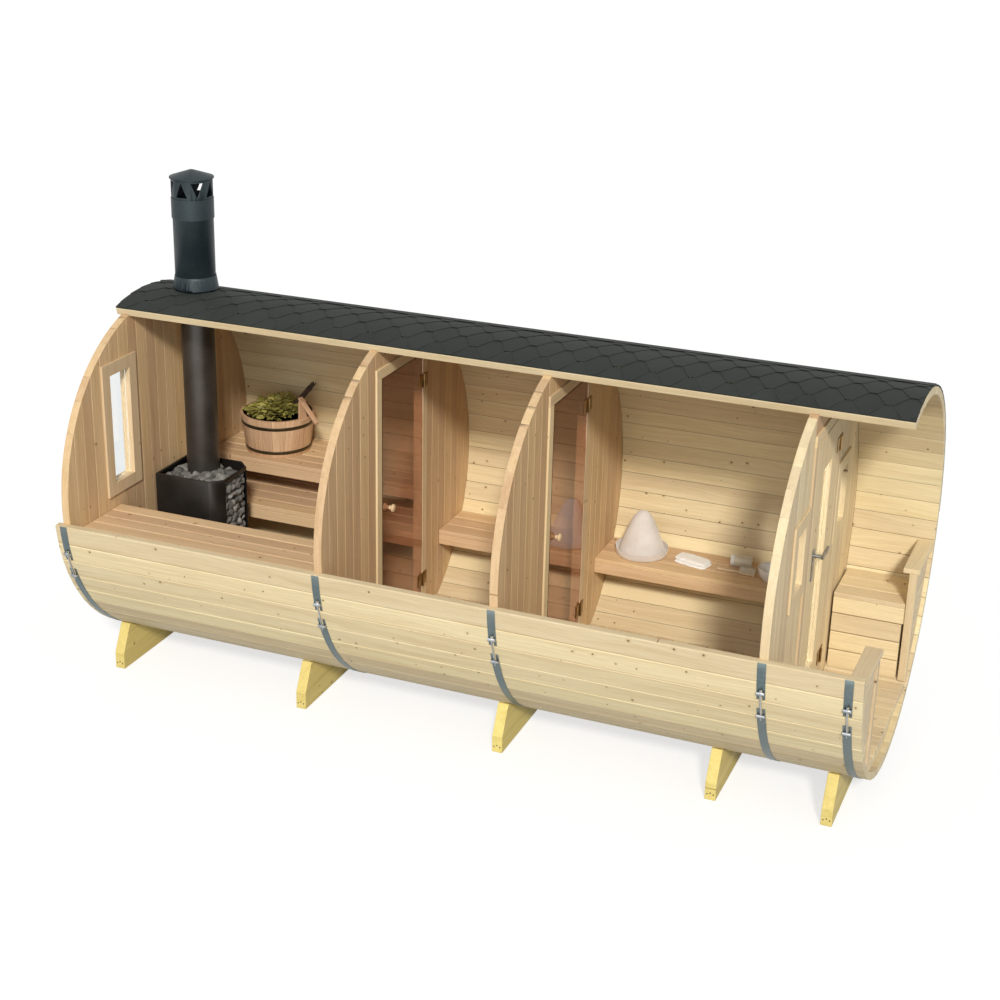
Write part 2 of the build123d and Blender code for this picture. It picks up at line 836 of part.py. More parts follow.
def stove():
    """Firebox on legs in a steel jacket that holds the stones round and above it."""
    base = floor_top + seat_gap
    bottom = base + stove_leg
    top = base + stove_height
    fire_top = bottom + firebox_height
    inside = -stove_wall
    door, door_hole = fire_door(fire_top, bottom)
    firebox = stove_prism(inside - firebox_gap, bottom + firebox_gap, fire_top) + door
    reach_x = stove_length / 2 - stove_leg_inset
    reach_y = stove_width / 2 - stove_leg_inset
    half_leg = stove_leg_width / 2
    for x in (stove_x - reach_x, stove_x + reach_x):
        for y in (stove_y - reach_y, stove_y + reach_y):
            firebox += block(x - half_leg, x + half_leg, y - half_leg, y + half_leg, base,
                             bottom + 2 * firebox_gap)
    save("stove_firebox", firebox)
    jacket = stove_prism(0, bottom, top) - stove_prism(inside, bottom - 1, top - stove_wall)
    jacket -= stove_prism(-stove_rim, top - 2 * stove_wall, top + 1)
    window_low = fire_top + stone_window_margin
    window_high = top - stone_window_margin
    window_half = stove_width / 2 - stove_corner
    face = stove_x + stove_length / 2
    jacket -= block(face - 2 * stove_wall, face + stove_wall, stove_y - window_half,
                    stove_y + window_half, window_low, window_high)
    save("stove_jacket", jacket - door_hole)
    stones = stove_prism(inside - seat_gap, fire_top + seat_gap, top - stone_drop)
    stones -= column(flue_x, flue_y, flue_radius + seat_gap, fire_top, top)
    save("stove_stones", stones)
    return fire_top


def vent_crown():
    """Ring of triangular vents on the chimney and the shallow hat over it."""
    base = chimney_top + seat_gap
    top = base + crown_height
    radius = chimney_radius + crown_step
    crown = column(flue_x, flue_y, radius, base, top)
    crown -= column(flue_x, flue_y, radius - chimney_wall, base - 1, top + 1)
    for index in range(crown_cutouts):
        crown -= crown_cutout(index, base, top)
    rim_top = top + seat_gap + cap_rim
    cap = cone(flue_x, flue_y, cap_radius, cap_peak_radius, rim_top, rim_top + cap_height)
    cap += column(flue_x, flue_y, cap_radius, top + seat_gap, rim_top)
    save("chimney_cap", crown, cap)


def flue(fire_top):
    """Pipe from the firebox up into the wider chimney that stands on the roof."""
    base = fire_top + seat_gap
    low = axis_height + shell_radius - chimney_overlap
    pipe_top = low + 2 * chimney_overlap
    pipe = column(flue_x, flue_y, flue_radius, base, pipe_top)
    pipe -= column(flue_x, flue_y, flue_radius - chimney_wall, base - 1, pipe_top + 1)
    save("flue_pipe", pipe)
    tube = column(flue_x, flue_y, chimney_radius, low, chimney_top)
    collar_z = chimney_top - collar_height
    tube += column(flue_x, flue_y, chimney_radius + collar_step, collar_z, chimney_top)
    tube -= column(flue_x, flue_y, chimney_radius - chimney_wall, low - 1, chimney_top + 1)
    spacers = []
    for turn in (0, 120, 240):
        web = Box(chimney_radius - flue_radius - chimney_wall - 2 * seat_gap, chimney_wall,
                  chimney_overlap)
        middle = (chimney_radius - chimney_wall + flue_radius) / 2
        web = Rot(0, 0, turn) * Pos(middle, 0, 0) * web
        spacers.append(Pos(place(flue_x), flue_y, low + chimney_overlap) * web)
    save("chimney_tube", tube)
    save("flue_spacers", *spacers)
    skirt_base = axis_height + shell_radius - flashing_skirt
    skirt_top = axis_height + shell_radius + flashing_height
    skirt = cone(flue_x, flue_y, flashing_radius, chimney_radius + chimney_wall, skirt_base,
                 skirt_top)
    skirt -= column(flue_x, flue_y, chimney_radius + seat_gap, skirt_base - 1, skirt_top + 1)
    skirt -= disc(roof_radius + course_lap_thickness + seat_gap, 0, length)
    save("chimney_flashing", skirt)
    vent_crown()


def crown_cutout(index, base, top):
    """Triangular vent through the crown, alternately pointing up and down."""
    turn = 360.0 / crown_cutouts
    width = 2 * chimney_radius * sin(radians(turn / 2)) * crown_cutout_share
    low = base + crown_margin
    high = top - crown_margin
    points = [(-width / 2, low), (width / 2, low), (0, high)]
    if index % 2:
        points = [(-width / 2, high), (width / 2, high), (0, low)]
    outline = make_face(Polyline(*points, close=True))
    wedge = extrude(Plane.XZ * outline, amount=2 * chimney_radius)
    return Pos(place(flue_x), flue_y, 0) * Rot(0, 0, index * turn) * wedge


def railings():
    """Post, boards and cap beside the way in, on both sides of the porch."""
    x0 = porch_end - rail_post
    cap_base = rail_top - rail_cap_thickness
    cap_end = porch_end + rail_cap_overhang
    cap_reach = shell_half_width(cap_base) - 2 * seat_gap
    limit = disc(inner_radius - seat_gap, x0 - 1, porch_end + 1)
    post_end = rail_inner + rail_post
    zone = (cap_base - seat_gap - floor_top) / rail_boards
    board_x = x0 + rail_board_recess
    railing = []
    for side in (-1, 1):
        y0, y1 = sorted((side * rail_inner, side * cap_reach))
        railing.append(block(cap_end - rail_cap_width, cap_end, y0, y1, cap_base, rail_top))
        y0, y1 = sorted((side * rail_inner, side * post_end))
        post = block(x0, porch_end, y0, y1, floor_top + seat_gap, cap_base - seat_gap)
        railing.append(post & limit)
        y0, y1 = sorted((side * (post_end + seat_gap), side * shell_radius))
        for index in range(rail_boards):
            z1 = cap_base - seat_gap - index * zone
            board = block(board_x, board_x + rail_board_thickness, y0, y1,
                          z1 - zone + board_gap, z1)
            board = board & limit
            if board.solids():
                railing.append(board)
    save("porch_railings", *railing)


def tub_place():
    """How far back the tub stands, so that its rim just clears the staves."""
    return shell_half_width(sauna_bench_top + tub_height) - tub_top_radius - tub_gap


def tub_ear(top):
    """Stave that runs up past the rim, with a flat bar through it."""
    width = tub_ear_width
    neck = tub_ear_taper * width / 2
    tip = top + tub_ear_rise
    points = [(-width / 2, top - tub_wall), (width / 2, top - tub_wall),
              (neck, tip - width / 4), (width / 4, tip), (-width / 4, tip),
              (-neck, tip - width / 4)]
    outline = make_face(Polyline(*points, close=True))
    inner = tub_top_radius - tub_wall
    stave_up = extrude(Plane.YZ.offset(inner) * outline, amount=tub_ear_thickness)
    bar = Box(tub_bar_length, tub_bar_width, tub_bar_thickness)
    bar = Pos(inner + tub_bar_reach, 0, tip - tub_bar_drop) * Rot(0, tub_bar_slope, 0) * bar
    return Rot(0, 0, tub_ear_turn) * (stave_up + bar)


def tub():
    """Round tub of staves with two hoops and one raised ear."""
    y = tub_place()
    base = sauna_bench_top + seat_gap
    top = base + tub_height
    body = cone(tub_x, y, tub_base_radius, tub_top_radius, base, top)
    slope = (tub_top_radius - tub_base_radius) / tub_height
    inside_base = tub_base_radius + slope * tub_base - tub_wall
    hollow = cone(tub_x, y, inside_base, tub_top_radius - tub_wall, base + tub_base, top)
    ear = Pos(place(tub_x), y, 0) * tub_ear(top)
    save("tub", body - hollow + ear)
    hoops = []
    for share in hoop_shares:
        z0 = base + share * tub_height
        z1 = z0 + hoop_height
        low = tub_base_radius + slope * (z0 - base) + seat_gap
        high = low + slope * hoop_height
        hoop = cone(tub_x, y, low + hoop_thickness, high + hoop_thickness, z0, z1)
        hoops.append(hoop - cone(tub_x, y, low, high, z0, z1))
    save("tub_hoops", *hoops)


def on_bench(inset, depth):
    """A place on the changing bench, from its partition and from its front edge."""
    return Pos(place(changing_start + inset), room_bench_edge + depth,
               room_bench_top + seat_gap)


def hat():
    """Bell of thick felt with a turned-up brim, standing on its mouth."""
    side = Spline(
        (hat_radius * 0.9, hat_brim),
        (hat_radius * 0.72, hat_height * 0.45),
        (hat_radius * 0.36, hat_height * 0.86),
        (0, hat_height),
    )
    outline = make_face([
        Line((0, 0), (hat_radius * 0.94, 0)),
        Line((hat_radius * 0.94, 0), (hat_radius, hat_brim)),
        Line((hat_radius, hat_brim), (hat_radius * 0.9, hat_brim)),
        side,
        Line((0, hat_height), (0, 0)),
    ])
    bell = revolve(Plane.XZ * outline, Axis.Z)
    depth = shell_half_width(room_bench_top) - hat_radius - hat_gap - room_bench_edge
    save("felt_hat", on_bench(hat_inset, depth) * bell)


def mitt():
    """Folded washing mitt lying flat."""
    pad = Box(mitt_length, mitt_width, mitt_thickness)
    pad = fillet(pad.edges().filter_by(Axis.Z), mitt_width * 0.3)
    lifted = on_bench(mitt_inset, mitt_depth) * Pos(0, 0, mitt_thickness / 2)
    save("bath_mitt", lifted * Rot(0, 0, mitt_turn) * pad)


def brushes():
    """A round sisal pad on its side and a long bath brush with its bristles up."""
    roll = Rot(0, 0, roll_turn) * Rot(0, 90, 0) * Cylinder(roll_radius, roll_length)
    roll = on_bench(roll_inset, roll_depth) * Pos(0, 0, roll_radius) * roll
    middle = brush_thickness / 2
    brush = Pos(0, 0, middle) * Box(brush_length, brush_width, brush_thickness)
    bristles = Box(brush_length - brush_thickness, brush_width - brush_thickness,
                   brush_bristle + 1)
    brush += Pos(0, 0, brush_thickness + brush_bristle / 2) * bristles
    grip = Box(brush_grip + brush_thickness, brush_grip_width, brush_thickness)
    brush += Pos(-(brush_length + brush_grip) / 2, 0, middle) * grip
    save("bath_brushes", roll, on_bench(brush_inset, brush_depth) * brush)


def bowl():
    """Deep round bowl, turned in one piece."""
    inside_rim = bowl_radius - bowl_wall
    inside_foot = bowl_foot_radius - bowl_wall / 2
    waist = (bowl_foot_radius + bowl_radius) / 2 + bowl_wall
    low = bowl_height * 0.33
    outline = make_face([
        Line((0, 0), (bowl_foot_radius, 0)),
        ThreePointArc((bowl_foot_radius, 0), (waist, low), (bowl_radius, bowl_height)),
        Line((bowl_radius, bowl_height), (inside_rim, bowl_height)),
        ThreePointArc((inside_rim, bowl_height), (waist - bowl_wall, low + bowl_wall),
                      (inside_foot, bowl_wall)),
        Line((inside_foot, bowl_wall), (0, bowl_wall)),
        Line((0, bowl_wall), (0, 0)),
    ])
    vessel = revolve(Plane.XZ * outline, Axis.Z)
    save("soap_bowl", on_bench(bowl_inset, bowl_depth) * vessel)


os.makedirs("parts", exist_ok=True)
staves()
bands()
roof()
cradles()
window_frames, window_panes = gable()
doorways = {"head": [], "sill": []}
front_holes = [
    window_hole(front_wall_x, side * front_window_offset, front_window_base,
                front_window_width, front_window_height)
    for side in (-1, 1)
]
door_wall("partition_1", partition_1_x, [], doorways)
door_wall("partition_2", partition_2_x, [], doorways)
door_wall("front_wall", front_wall_x, front_holes, doorways)
save("doorway_heads", *doorways["head"])
save("doorway_sills", *doorways["sill"])
window_frames += [
    window_frame(front_wall_x, side * front_window_offset, front_window_base,
                 front_window_width, front_window_height, window_panes)
    for side in (-1, 1)
]
save("window_frames", *window_frames)
save("window_glass", *window_panes)
door_frame("door_1", partition_1_x)
door_frame("door_2", partition_2_x)
door_frame("front_door", front_wall_x)
hinge_halves = []
glass_door("door_1", partition_1_x, hinge_halves)
glass_door("door_2", partition_2_x, hinge_halves)
front_door(hinge_halves)
save("hinge_plates", *hinge_halves)
floors()
benches()
flue(stove())
railings()
tub()
hat()
mitt()
brushes()
bowl()
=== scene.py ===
import bmesh
import bpy
import math
import random
from mathutils import Matrix, Vector, noise


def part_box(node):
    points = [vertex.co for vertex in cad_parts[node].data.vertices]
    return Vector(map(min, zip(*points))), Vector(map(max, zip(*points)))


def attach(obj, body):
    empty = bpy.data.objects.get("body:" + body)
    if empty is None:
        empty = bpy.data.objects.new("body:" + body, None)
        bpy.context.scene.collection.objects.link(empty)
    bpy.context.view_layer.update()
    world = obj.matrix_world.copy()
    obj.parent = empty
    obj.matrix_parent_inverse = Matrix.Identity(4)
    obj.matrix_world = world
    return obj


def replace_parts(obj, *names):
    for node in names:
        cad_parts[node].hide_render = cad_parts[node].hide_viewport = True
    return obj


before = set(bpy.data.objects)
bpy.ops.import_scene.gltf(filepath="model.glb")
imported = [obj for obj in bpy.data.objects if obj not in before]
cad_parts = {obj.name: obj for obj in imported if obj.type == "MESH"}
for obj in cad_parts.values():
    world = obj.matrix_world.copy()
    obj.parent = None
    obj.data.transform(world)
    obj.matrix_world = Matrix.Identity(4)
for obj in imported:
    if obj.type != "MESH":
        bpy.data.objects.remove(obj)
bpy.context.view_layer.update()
scene = bpy.context.scene
scene.view_settings.view_transform = "Standard"

# The barrel as the CAD frame has it, in metres and degrees
barrel = {
    "length": 4.5, "axisHeight": 1.13, "radius": 1.025, "roofRadius": 1.0271,
    "cutAngle": -4.9, "roofFront": 72.24, "roofBack": 179.0,
}
print("frame loaded:", len(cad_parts), "nodes")


# Camera, light and floor

cameraLook = {"place": (3.393, -8.605, 4.929), "yaw": 0.37662, "pitch": 0.38255, "roll": 0.02379,
              "lens": 64.52}
lightLook = {"sunTurn": -66.0, "sunHeight": 34.0, "sunPower": 2.65, "sunSize": 7.0,
             "sunColour": (1.0, 0.95, 0.86), "skyColour": (0.86, 0.93, 1.0), "skyPower": 0.42,
             "fillPower": 150.0, "fillSize": 6.0, "fillPlace": (0.6, -8.0, 3.4), "fillAim": (0, 0, 1),
             "floorColour": 0.36, "floorGlow": 0.68, "floorHalf": 60, "floorLow": 0.001}


def newObject(name, data):
    thing = bpy.data.objects.new(name, data)
    scene.collection.objects.link(thing)
    return thing


def makeCamera(look):
    data = bpy.data.cameras.new("photoCamera")
    data.lens = look["lens"]
    data.sensor_width = 36
    data.clip_end = 200
    camera = newObject("photoCamera", data)
    turn = Matrix.Rotation(look["yaw"], 4, "Z") @ Matrix.Rotation(math.pi / 2 - look["pitch"], 4, "X")
    camera.matrix_world = Matrix.Translation(look["place"]) @ turn @ Matrix.Rotation(look["roll"], 4, "Z")
    scene.camera = camera


def feed(tree, node, feeds):
    for key, value in feeds.items():
        socket = node.inputs[key]
        if isinstance(value, bpy.types.NodeSocket):
            tree.links.new(value, socket)
        else:
            socket.default_value = value


def put(tree, kind, feeds=None, **settings):
    node = tree.nodes.new("ShaderNode" + kind)
    for key, value in settings.items():
        setattr(node, key, value)
    feed(tree, node, feeds or {})
    return node


def maths(tree, how, first, second):
    return put(tree, "Math", {0: first, 1: second}, operation=how).outputs[0]


def ramp(tree, value, low, high, newLow=0.0, newHigh=1.0, smooth=True):
    feeds = {"Value": value, "From Min": low, "From Max": high, "To Min": newLow, "To Max": newHigh}
    kind = "SMOOTHSTEP" if smooth else "LINEAR"
    return put(tree, "MapRange", feeds, interpolation_type=kind).outputs["Result"]


def blendColour(tree, share, first, second):
    return put(tree, "Mix", {0: share, 6: first, 7: second}, data_type="RGBA").outputs[2]


def speckle(tree, place, scale, detail, rough=0.5):
    feeds = {"Vector": place, "Scale": scale, "Detail": detail, "Roughness": rough}
    return put(tree, "TexNoise", feeds).outputs[0]


def attribute(tree, name, output="Fac"):
    return put(tree, "Attribute", attribute_name=name).outputs[output]


# 1 where the camera sees a thing straight, mirrored or through glass, otherwise 0
def seenShare(tree):
    path = put(tree, "LightPath")
    seen = maths(tree, "MAXIMUM", path.outputs["Is Camera Ray"], path.outputs["Is Glossy Ray"])
    return maths(tree, "MAXIMUM", seen, path.outputs["Is Transmission Ray"])


def openMaterial(name):
    material = bpy.data.materials.new(name)
    material.use_nodes = True
    tree = material.node_tree
    tree.nodes.clear()
    return material, tree


def toMesh(bm, name):
    mesh = bpy.data.meshes.new(name)
    bm.to_mesh(mesh)
    bm.free()
    return mesh


def makeLight(look):
    turn, height = math.radians(look["sunTurn"]), math.radians(look["sunHeight"])
    toSun = Vector((math.cos(turn) * math.cos(height), math.sin(turn) * math.cos(height),
                    math.sin(height)))
    sun = bpy.data.lights.new("keySun", "SUN")
    sun.energy = look["sunPower"]
    sun.angle = math.radians(look["sunSize"])
    sun.color = look["sunColour"]
    lamp = newObject("keySun", sun)
    lamp.rotation_euler = (-toSun).to_track_quat("-Z", "Y").to_euler()
    soft = bpy.data.lights.new("softBox", "AREA")
    soft.energy = look["fillPower"]
    soft.size = look["fillSize"]
    box = newObject("softBox", soft)
    box.location = look["fillPlace"]
    box.rotation_euler = (Vector(look["fillAim"]) - box.location).to_track_quat("-Z", "Y").to_euler()

    world = bpy.data.worlds.new("paleStudio")
    scene.world = world
    world.use_nodes = True
    tree = world.node_tree
    tree.nodes.clear()
    sky = put(tree, "Background", {"Color": (*look["skyColour"], 1), "Strength": look["skyPower"]})
    white = put(tree, "Background", {"Color": (1, 1, 1, 1), "Strength": 1.0})
    mix = put(tree, "MixShader", {0: seenShare(tree), 1: sky.outputs[0], 2: white.outputs[0]})
    put(tree, "OutputWorld", {"Surface": mix.outputs[0]})


def makeFloor(look):
    bm = bmesh.new()
    bmesh.ops.create_grid(bm, x_segments=1, y_segments=1, size=look["floorHalf"])
    bmesh.ops.translate(bm, vec=(0, 0, -look["floorLow"]), verts=bm.verts)
    mesh = toMesh(bm, "paleFloor")
    floor = newObject("paleFloor", mesh)
    material, tree = openMaterial("floorWhite")
    glow = maths(tree, "MULTIPLY", seenShare(tree), look["floorGlow"])
    shader = put(tree, "BsdfPrincipled", {
        "Base Color": (*[look["floorColour"]] * 3, 1), "Roughness": 0.9,
        "Emission Color": (1, 1, 1, 1), "Emission Strength": glow})
    put(tree, "OutputMaterial", {"Surface": shader.outputs[0]})
    mesh.materials.append(material)


makeCamera(cameraLook)
makeLight(lightLook)
makeFloor(lightLook)
print("camera, light and floor ready")


# Shader groups for timber, and for steel, stone and cloth

def newGroup(name, takes):
    group = bpy.data.node_groups.new(name, "ShaderNodeTree")
    gives = {"Color": "Color", "Roughness": "Float", "Height": "Float"}
    for sockets, way in ((takes, "INPUT"), (gives, "OUTPUT")):
        for label, kind in sockets.items():
            group.interface.new_socket(label, in_out=way, socket_type="NodeSocket" + kind)
    return group, group.nodes.new("NodeGroupInput").outputs, group.nodes.new("NodeGroupOutput")


def makeTimberGroup():
    group, into, out = newGroup("timberGrain", {
        "Place": "Vector", "Tone": "Float", "GrooveShade": "Float", "Pale": "Color", "Deep": "Color",
        "Knot": "Color", "Knots": "Float", "Contrast": "Float"})

    def times(first, second):
        return maths(group, "MULTIPLY", first, second)

    def plus(first, second):
        return maths(group, "ADD", first, second)

    # Knots are spots of a cell pattern, and the grain bends round them
    parts = put(group, "SeparateXYZ", {0: into["Place"]}).outputs
    cells = put(group, "TexVoronoi", {"Vector": into["Place"], "Scale": 8.5}, voronoi_dimensions="2D")
    chance = put(group, "SeparateColor", {0: cells.outputs["Color"]}).outputs
    has = maths(group, "LESS_THAN", chance[0], into["Knots"])
    size = ramp(group, chance[1], 0, 1, 0.016, 0.062, smooth=False)
    ratio = maths(group, "DIVIDE", cells.outputs["Distance"], size)
    knot = times(ramp(group, ratio, 0.75, 1.15, 1, 0), has)
    halo = times(ramp(group, ratio, 0.9, 4.5, 1, 0), has)
    sway = speckle(group, into["Place"], 1.3, 1.0)
    across = plus(parts[1], plus(times(sway, 0.10), times(halo, 0.035)))

    def streaks(alongScale, acrossScale, detail):
        vector = put(group, "CombineXYZ", {
            0: times(parts[0], alongScale), 1: times(across, acrossScale),
            2: times(parts[2], acrossScale)}).outputs[0]
        return speckle(group, vector, 1.0, detail, 0.62)

    broad = ramp(group, streaks(0.8, 16, 2.0), 0.40, 0.68)
    rings = ramp(group, streaks(1.3, 75, 3.0), 0.36, 0.66)
    fibre = streaks(9, 420, 2.0)
    share = times(plus(times(broad, 0.55), times(rings, 0.45)), into["Contrast"])
    share = maths(group, "MAXIMUM", share, times(halo, 0.5))
    colour = blendColour(group, share, into["Pale"], into["Deep"])
    colour = blendColour(group, times(knot, 0.88), colour, into["Knot"])
    bright = times(ramp(group, into["Tone"], 0, 1, 0.88, 1.09, smooth=False),
                   ramp(group, fibre, 0.3, 0.7, 0.93, 1.05))
    # painted shade: marked joint points darken to a tenth of their colour, as shade in the grooves between
    # boards
    bright = times(bright, ramp(group, into["GrooveShade"], 0.35, 0.95, 1.0, 0.10, smooth=False))
    turn = ramp(group, into["Tone"], 0, 1, 0.494, 0.506, smooth=False)
    final = put(group, "HueSaturation", {"Hue": turn, "Value": bright, "Color": colour})
    rough = ramp(group, rings, 0, 1, 0.50, 0.66, smooth=False)
    rise = maths(group, "SUBTRACT", times(fibre, 0.5), times(rings, 0.35))
    rise = maths(group, "SUBTRACT", rise, times(knot, 0.4))
    feed(group, out, {"Color": final.outputs[0], "Roughness": rough, "Height": rise})
    return group


def makeMottleGroup():
    group, into, out = newGroup("mottle", {
        "Place": "Vector", "Base": "Color", "Second": "Color", "Broad": "Float", "Fine": "Float",
        "Smoothest": "Float", "Roughest": "Float"})
    broad = speckle(group, into["Place"], into["Broad"], 4.0)
    fine = speckle(group, into["Place"], into["Fine"], 3.0, 0.7)
    mixed = maths(group, "ADD", maths(group, "MULTIPLY", broad, 0.55),
                  maths(group, "MULTIPLY", fine, 0.45))
    colour = blendColour(group, ramp(group, mixed, 0.36, 0.64), into["Base"], into["Second"])
    rough = ramp(group, mixed, 0.3, 0.7, into["Smoothest"], into["Roughest"], smooth=False)
    feed(group, out, {"Color": colour, "Roughness": rough, "Height": mixed})
    return group


timberGroup = makeTimberGroup()
mottleGroup = makeMottleGroup()


def closeMaterial(tree, shader, pattern, colour, bump, reach):
    rough, height = pattern.outputs["Roughness"], pattern.outputs["Height"]
    raised = put(tree, "Bump", {"Height": height, "Strength": bump, "Distance": reach})
    feed(tree, shader, {"Base Color": colour, "Roughness": rough, "Normal": raised.outputs[0]})
    put(tree, "OutputMaterial", {"Surface": shader.outputs[0]})


def makeTimber(name, pale, deep, knot, knots, contrast):
    material, tree = openMaterial(name)
    # one attribute marks where the joints get painted shade
    grain = put(tree, "Group", {
        "Place": attribute(tree, "grain", "Vector"), "Tone": attribute(tree, "tone"),
        "GrooveShade": attribute(tree, "groove"), "Pale": (*pale, 1), "Deep": (*deep, 1),
        "Knot": (*knot, 1), "Knots": knots, "Contrast": contrast}, node_tree=timberGroup)
    shader = put(tree, "BsdfPrincipled", {"Specular IOR Level": 0.35})
    closeMaterial(tree, shader, grain, grain.outputs["Color"], bump=0.25, reach=0.002)
    return material


def makeMottled(name, base, second, broad, fine, smoothest, roughest, metallic, bump, reach, toned, more):
    material, tree = openMaterial(name)
    place = put(tree, "TexCoord").outputs["Object"]
    mottle = put(tree, "Group", {
        "Place": place, "Base": (*base, 1), "Second": (*second, 1), "Broad": broad, "Fine": fine,
        "Smoothest": smoothest, "Roughest": roughest}, node_tree=mottleGroup)
    shader = put(tree, "BsdfPrincipled", {"Metallic": metallic, **more})
    colour = mottle.outputs["Color"]
    if toned:  # each shingle, stone or leaf has its own lightness in the attribute "tone"
        value = ramp(tree, attribute(tree, "tone"), 0, 1, 1 - toned, 1 + toned, smooth=False)
        colour = put(tree, "HueSaturation", {"Value": value, "Color": colour}).outputs[0]
    closeMaterial(tree, shader, mottle, colour, bump, reach)
    return material


def makeGlass(name, colour):
    material, tree = openMaterial(name)
    place = put(tree, "TexCoord").outputs["Object"]
    rough = ramp(tree, speckle(tree, place, 5.0, 3.0), 0.3, 0.7, 0.02, 0.05)
    shader = put(tree, "BsdfPrincipled", {"Base Color": (*colour, 1), "IOR": 1.45,
                                          "Transmission Weight": 1.0, "Roughness": rough})
    put(tree, "OutputMaterial", {"Surface": shader.outputs[0]})
    return material


# Pale, deep and knot colours, share of the spots that have a knot, contrast of the grain
timberLook = {
    "staveWood": ((0.78, 0.66, 0.42), (0.60, 0.45, 0.24), (0.16, 0.085, 0.03), 0.34, 0.62),
    "wallWood": ((0.68, 0.48, 0.28), (0.50, 0.31, 0.145), (0.15, 0.07, 0.025), 0.26, 0.60),
    "trimWood": ((0.76, 0.60, 0.38), (0.58, 0.41, 0.22), (0.16, 0.08, 0.03), 0.08, 0.50),
    "floorWood": ((0.79, 0.65, 0.42), (0.61, 0.45, 0.25), (0.16, 0.08, 0.03), 0.30, 0.55),
    "benchWood": ((0.72, 0.51, 0.31), (0.54, 0.34, 0.17), (0.15, 0.07, 0.025), 0.22, 0.55),
    "treatedWood": ((0.72, 0.58, 0.21), (0.54, 0.41, 0.12), (0.12, 0.07, 0.02), 0.30, 0.60),
    "tubWood": ((0.64, 0.42, 0.26), (0.47, 0.28, 0.15), (0.14, 0.07, 0.03), 0.05, 0.55),
    "knobWood": ((0.74, 0.55, 0.33), (0.55, 0.36, 0.18), (0.16, 0.08, 0.03), 0.0, 0.5),
    "brushWood": ((0.80, 0.64, 0.42), (0.62, 0.44, 0.25), (0.16, 0.08, 0.03), 0.0, 0.4),
}
# Two colours, broad and fine scale, smoothest, roughest, metallic, bump, its reach, spread of tones
mottleLook = {
    "bandSteel": ((0.115, 0.155, 0.165), (0.17, 0.205, 0.205), 5, 90, 0.34, 0.55, 0.75, 0.15, 0.002, 0),
    "rodSteel": ((0.30, 0.32, 0.34), (0.48, 0.50, 0.52), 20, 300, 0.22, 0.42, 1.0, 0.1, 0.002, 0),
    "hoopSteel": ((0.055, 0.04, 0.02), (0.10, 0.075, 0.04), 20, 200, 0.32, 0.5, 0.7, 0.1, 0.002, 0),
    "hingeBrass": ((0.30, 0.19, 0.08), (0.42, 0.28, 0.13), 25, 260, 0.25, 0.45, 1.0, 0.1, 0.002, 0),
    "roofFelt": ((0.008, 0.0105, 0.009), (0.019, 0.0235, 0.0205), 3, 420, 0.82, 0.97, 0, 0.55, 0.0015, 0.22),
    "stoveSteel": ((0.020, 0.017, 0.015), (0.034, 0.029, 0.026), 8, 160, 0.34, 0.52, 0.5, 0.12, 0.002, 0),
    "flueSteel": ((0.065, 0.058, 0.053), (0.09, 0.082, 0.076), 6, 120, 0.30, 0.44, 0.65, 0.08, 0.002, 0),
    "chimneySteel": ((0.016, 0.026, 0.032), (0.028, 0.042, 0.048), 6, 120, 0.40, 0.58, 0.4, 0.1, 0.002, 0),
    "stoneGrey": ((0.085, 0.083, 0.078), (0.26, 0.255, 0.24), 22, 260, 0.75, 0.95, 0, 0.7, 0.003, 0.42),
    "wovenFelt": ((0.64, 0.585, 0.55), (0.75, 0.705, 0.675), 9, 700, 0.85, 0.97, 0, 0.5, 0.001, 0),
    "whiteCloth": ((0.82, 0.80, 0.775), (0.89, 0.875, 0.86), 14, 900, 0.85, 0.95, 0, 0.4, 0.001, 0),
    "sisal": ((0.82, 0.74, 0.58), (0.92, 0.87, 0.75), 30, 500, 0.75, 0.92, 0, 0.5, 0.001, 0),
    "whiteGlaze": ((0.80, 0.79, 0.77), (0.86, 0.855, 0.84), 12, 240, 0.10, 0.22, 0, 0.02, 0.001, 0),
    "leafGreen": ((0.16, 0.15, 0.025), (0.42, 0.37, 0.10), 26, 180, 0.45, 0.7, 0, 0.3, 0.001, 0.35),
    "twigBrown": ((0.045, 0.025, 0.014), (0.085, 0.05, 0.028), 30, 240, 0.6, 0.8, 0, 0.4, 0.001, 0),
}
surfaceLook = {  # what some finishes have besides
    "wovenFelt": {"Sheen Weight": 0.35, "Sheen Roughness": 0.6},
    "whiteCloth": {"Sheen Weight": 0.3, "Sheen Roughness": 0.5},
    "whiteGlaze": {"Coat Weight": 0.5, "Coat Roughness": 0.08},
}
glassLook = {"clearGlass": (0.93, 0.96, 0.96), "tintedGlass": (0.37, 0.215, 0.165)}
finishes = {name: makeTimber(name, *look) for name, look in timberLook.items()}
for name, look in mottleLook.items():
    finishes[name] = makeMottled(name, *look, surfaceLook.get(name, {}))
for name, colour in glassLook.items():
    finishes[name] = makeGlass(name, colour)
print("finishes ready:", len(finishes))


# General ways of making a piece

def keep(name, bm, finish, replaces=(), smoothAngle=None, body="body"):
    mesh = toMesh(bm, name)
    mesh.materials.append(finishes[finish])
    piece = newObject(name, mesh)
    if smoothAngle is not None:
        mesh.shade_smooth()
        mesh.set_sharp_from_angle(angle=math.radians(smoothAngle))
    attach(piece, body)
    if replaces:
        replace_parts(piece, *replaces)
    return piece


def mergedCopy(node):
    bm = bmesh.new()
    bm.from_mesh(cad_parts[node].data)
    for layer in list(bm.loops.layers.uv):
        bm.loops.layers.uv.remove(layer)
    bmesh.ops.remove_doubles(bm, verts=bm.verts, dist=1e-5)
    bmesh.ops.dissolve_limit(bm, angle_limit=math.radians(0.4), verts=bm.verts, edges=bm.edges)
    return bm


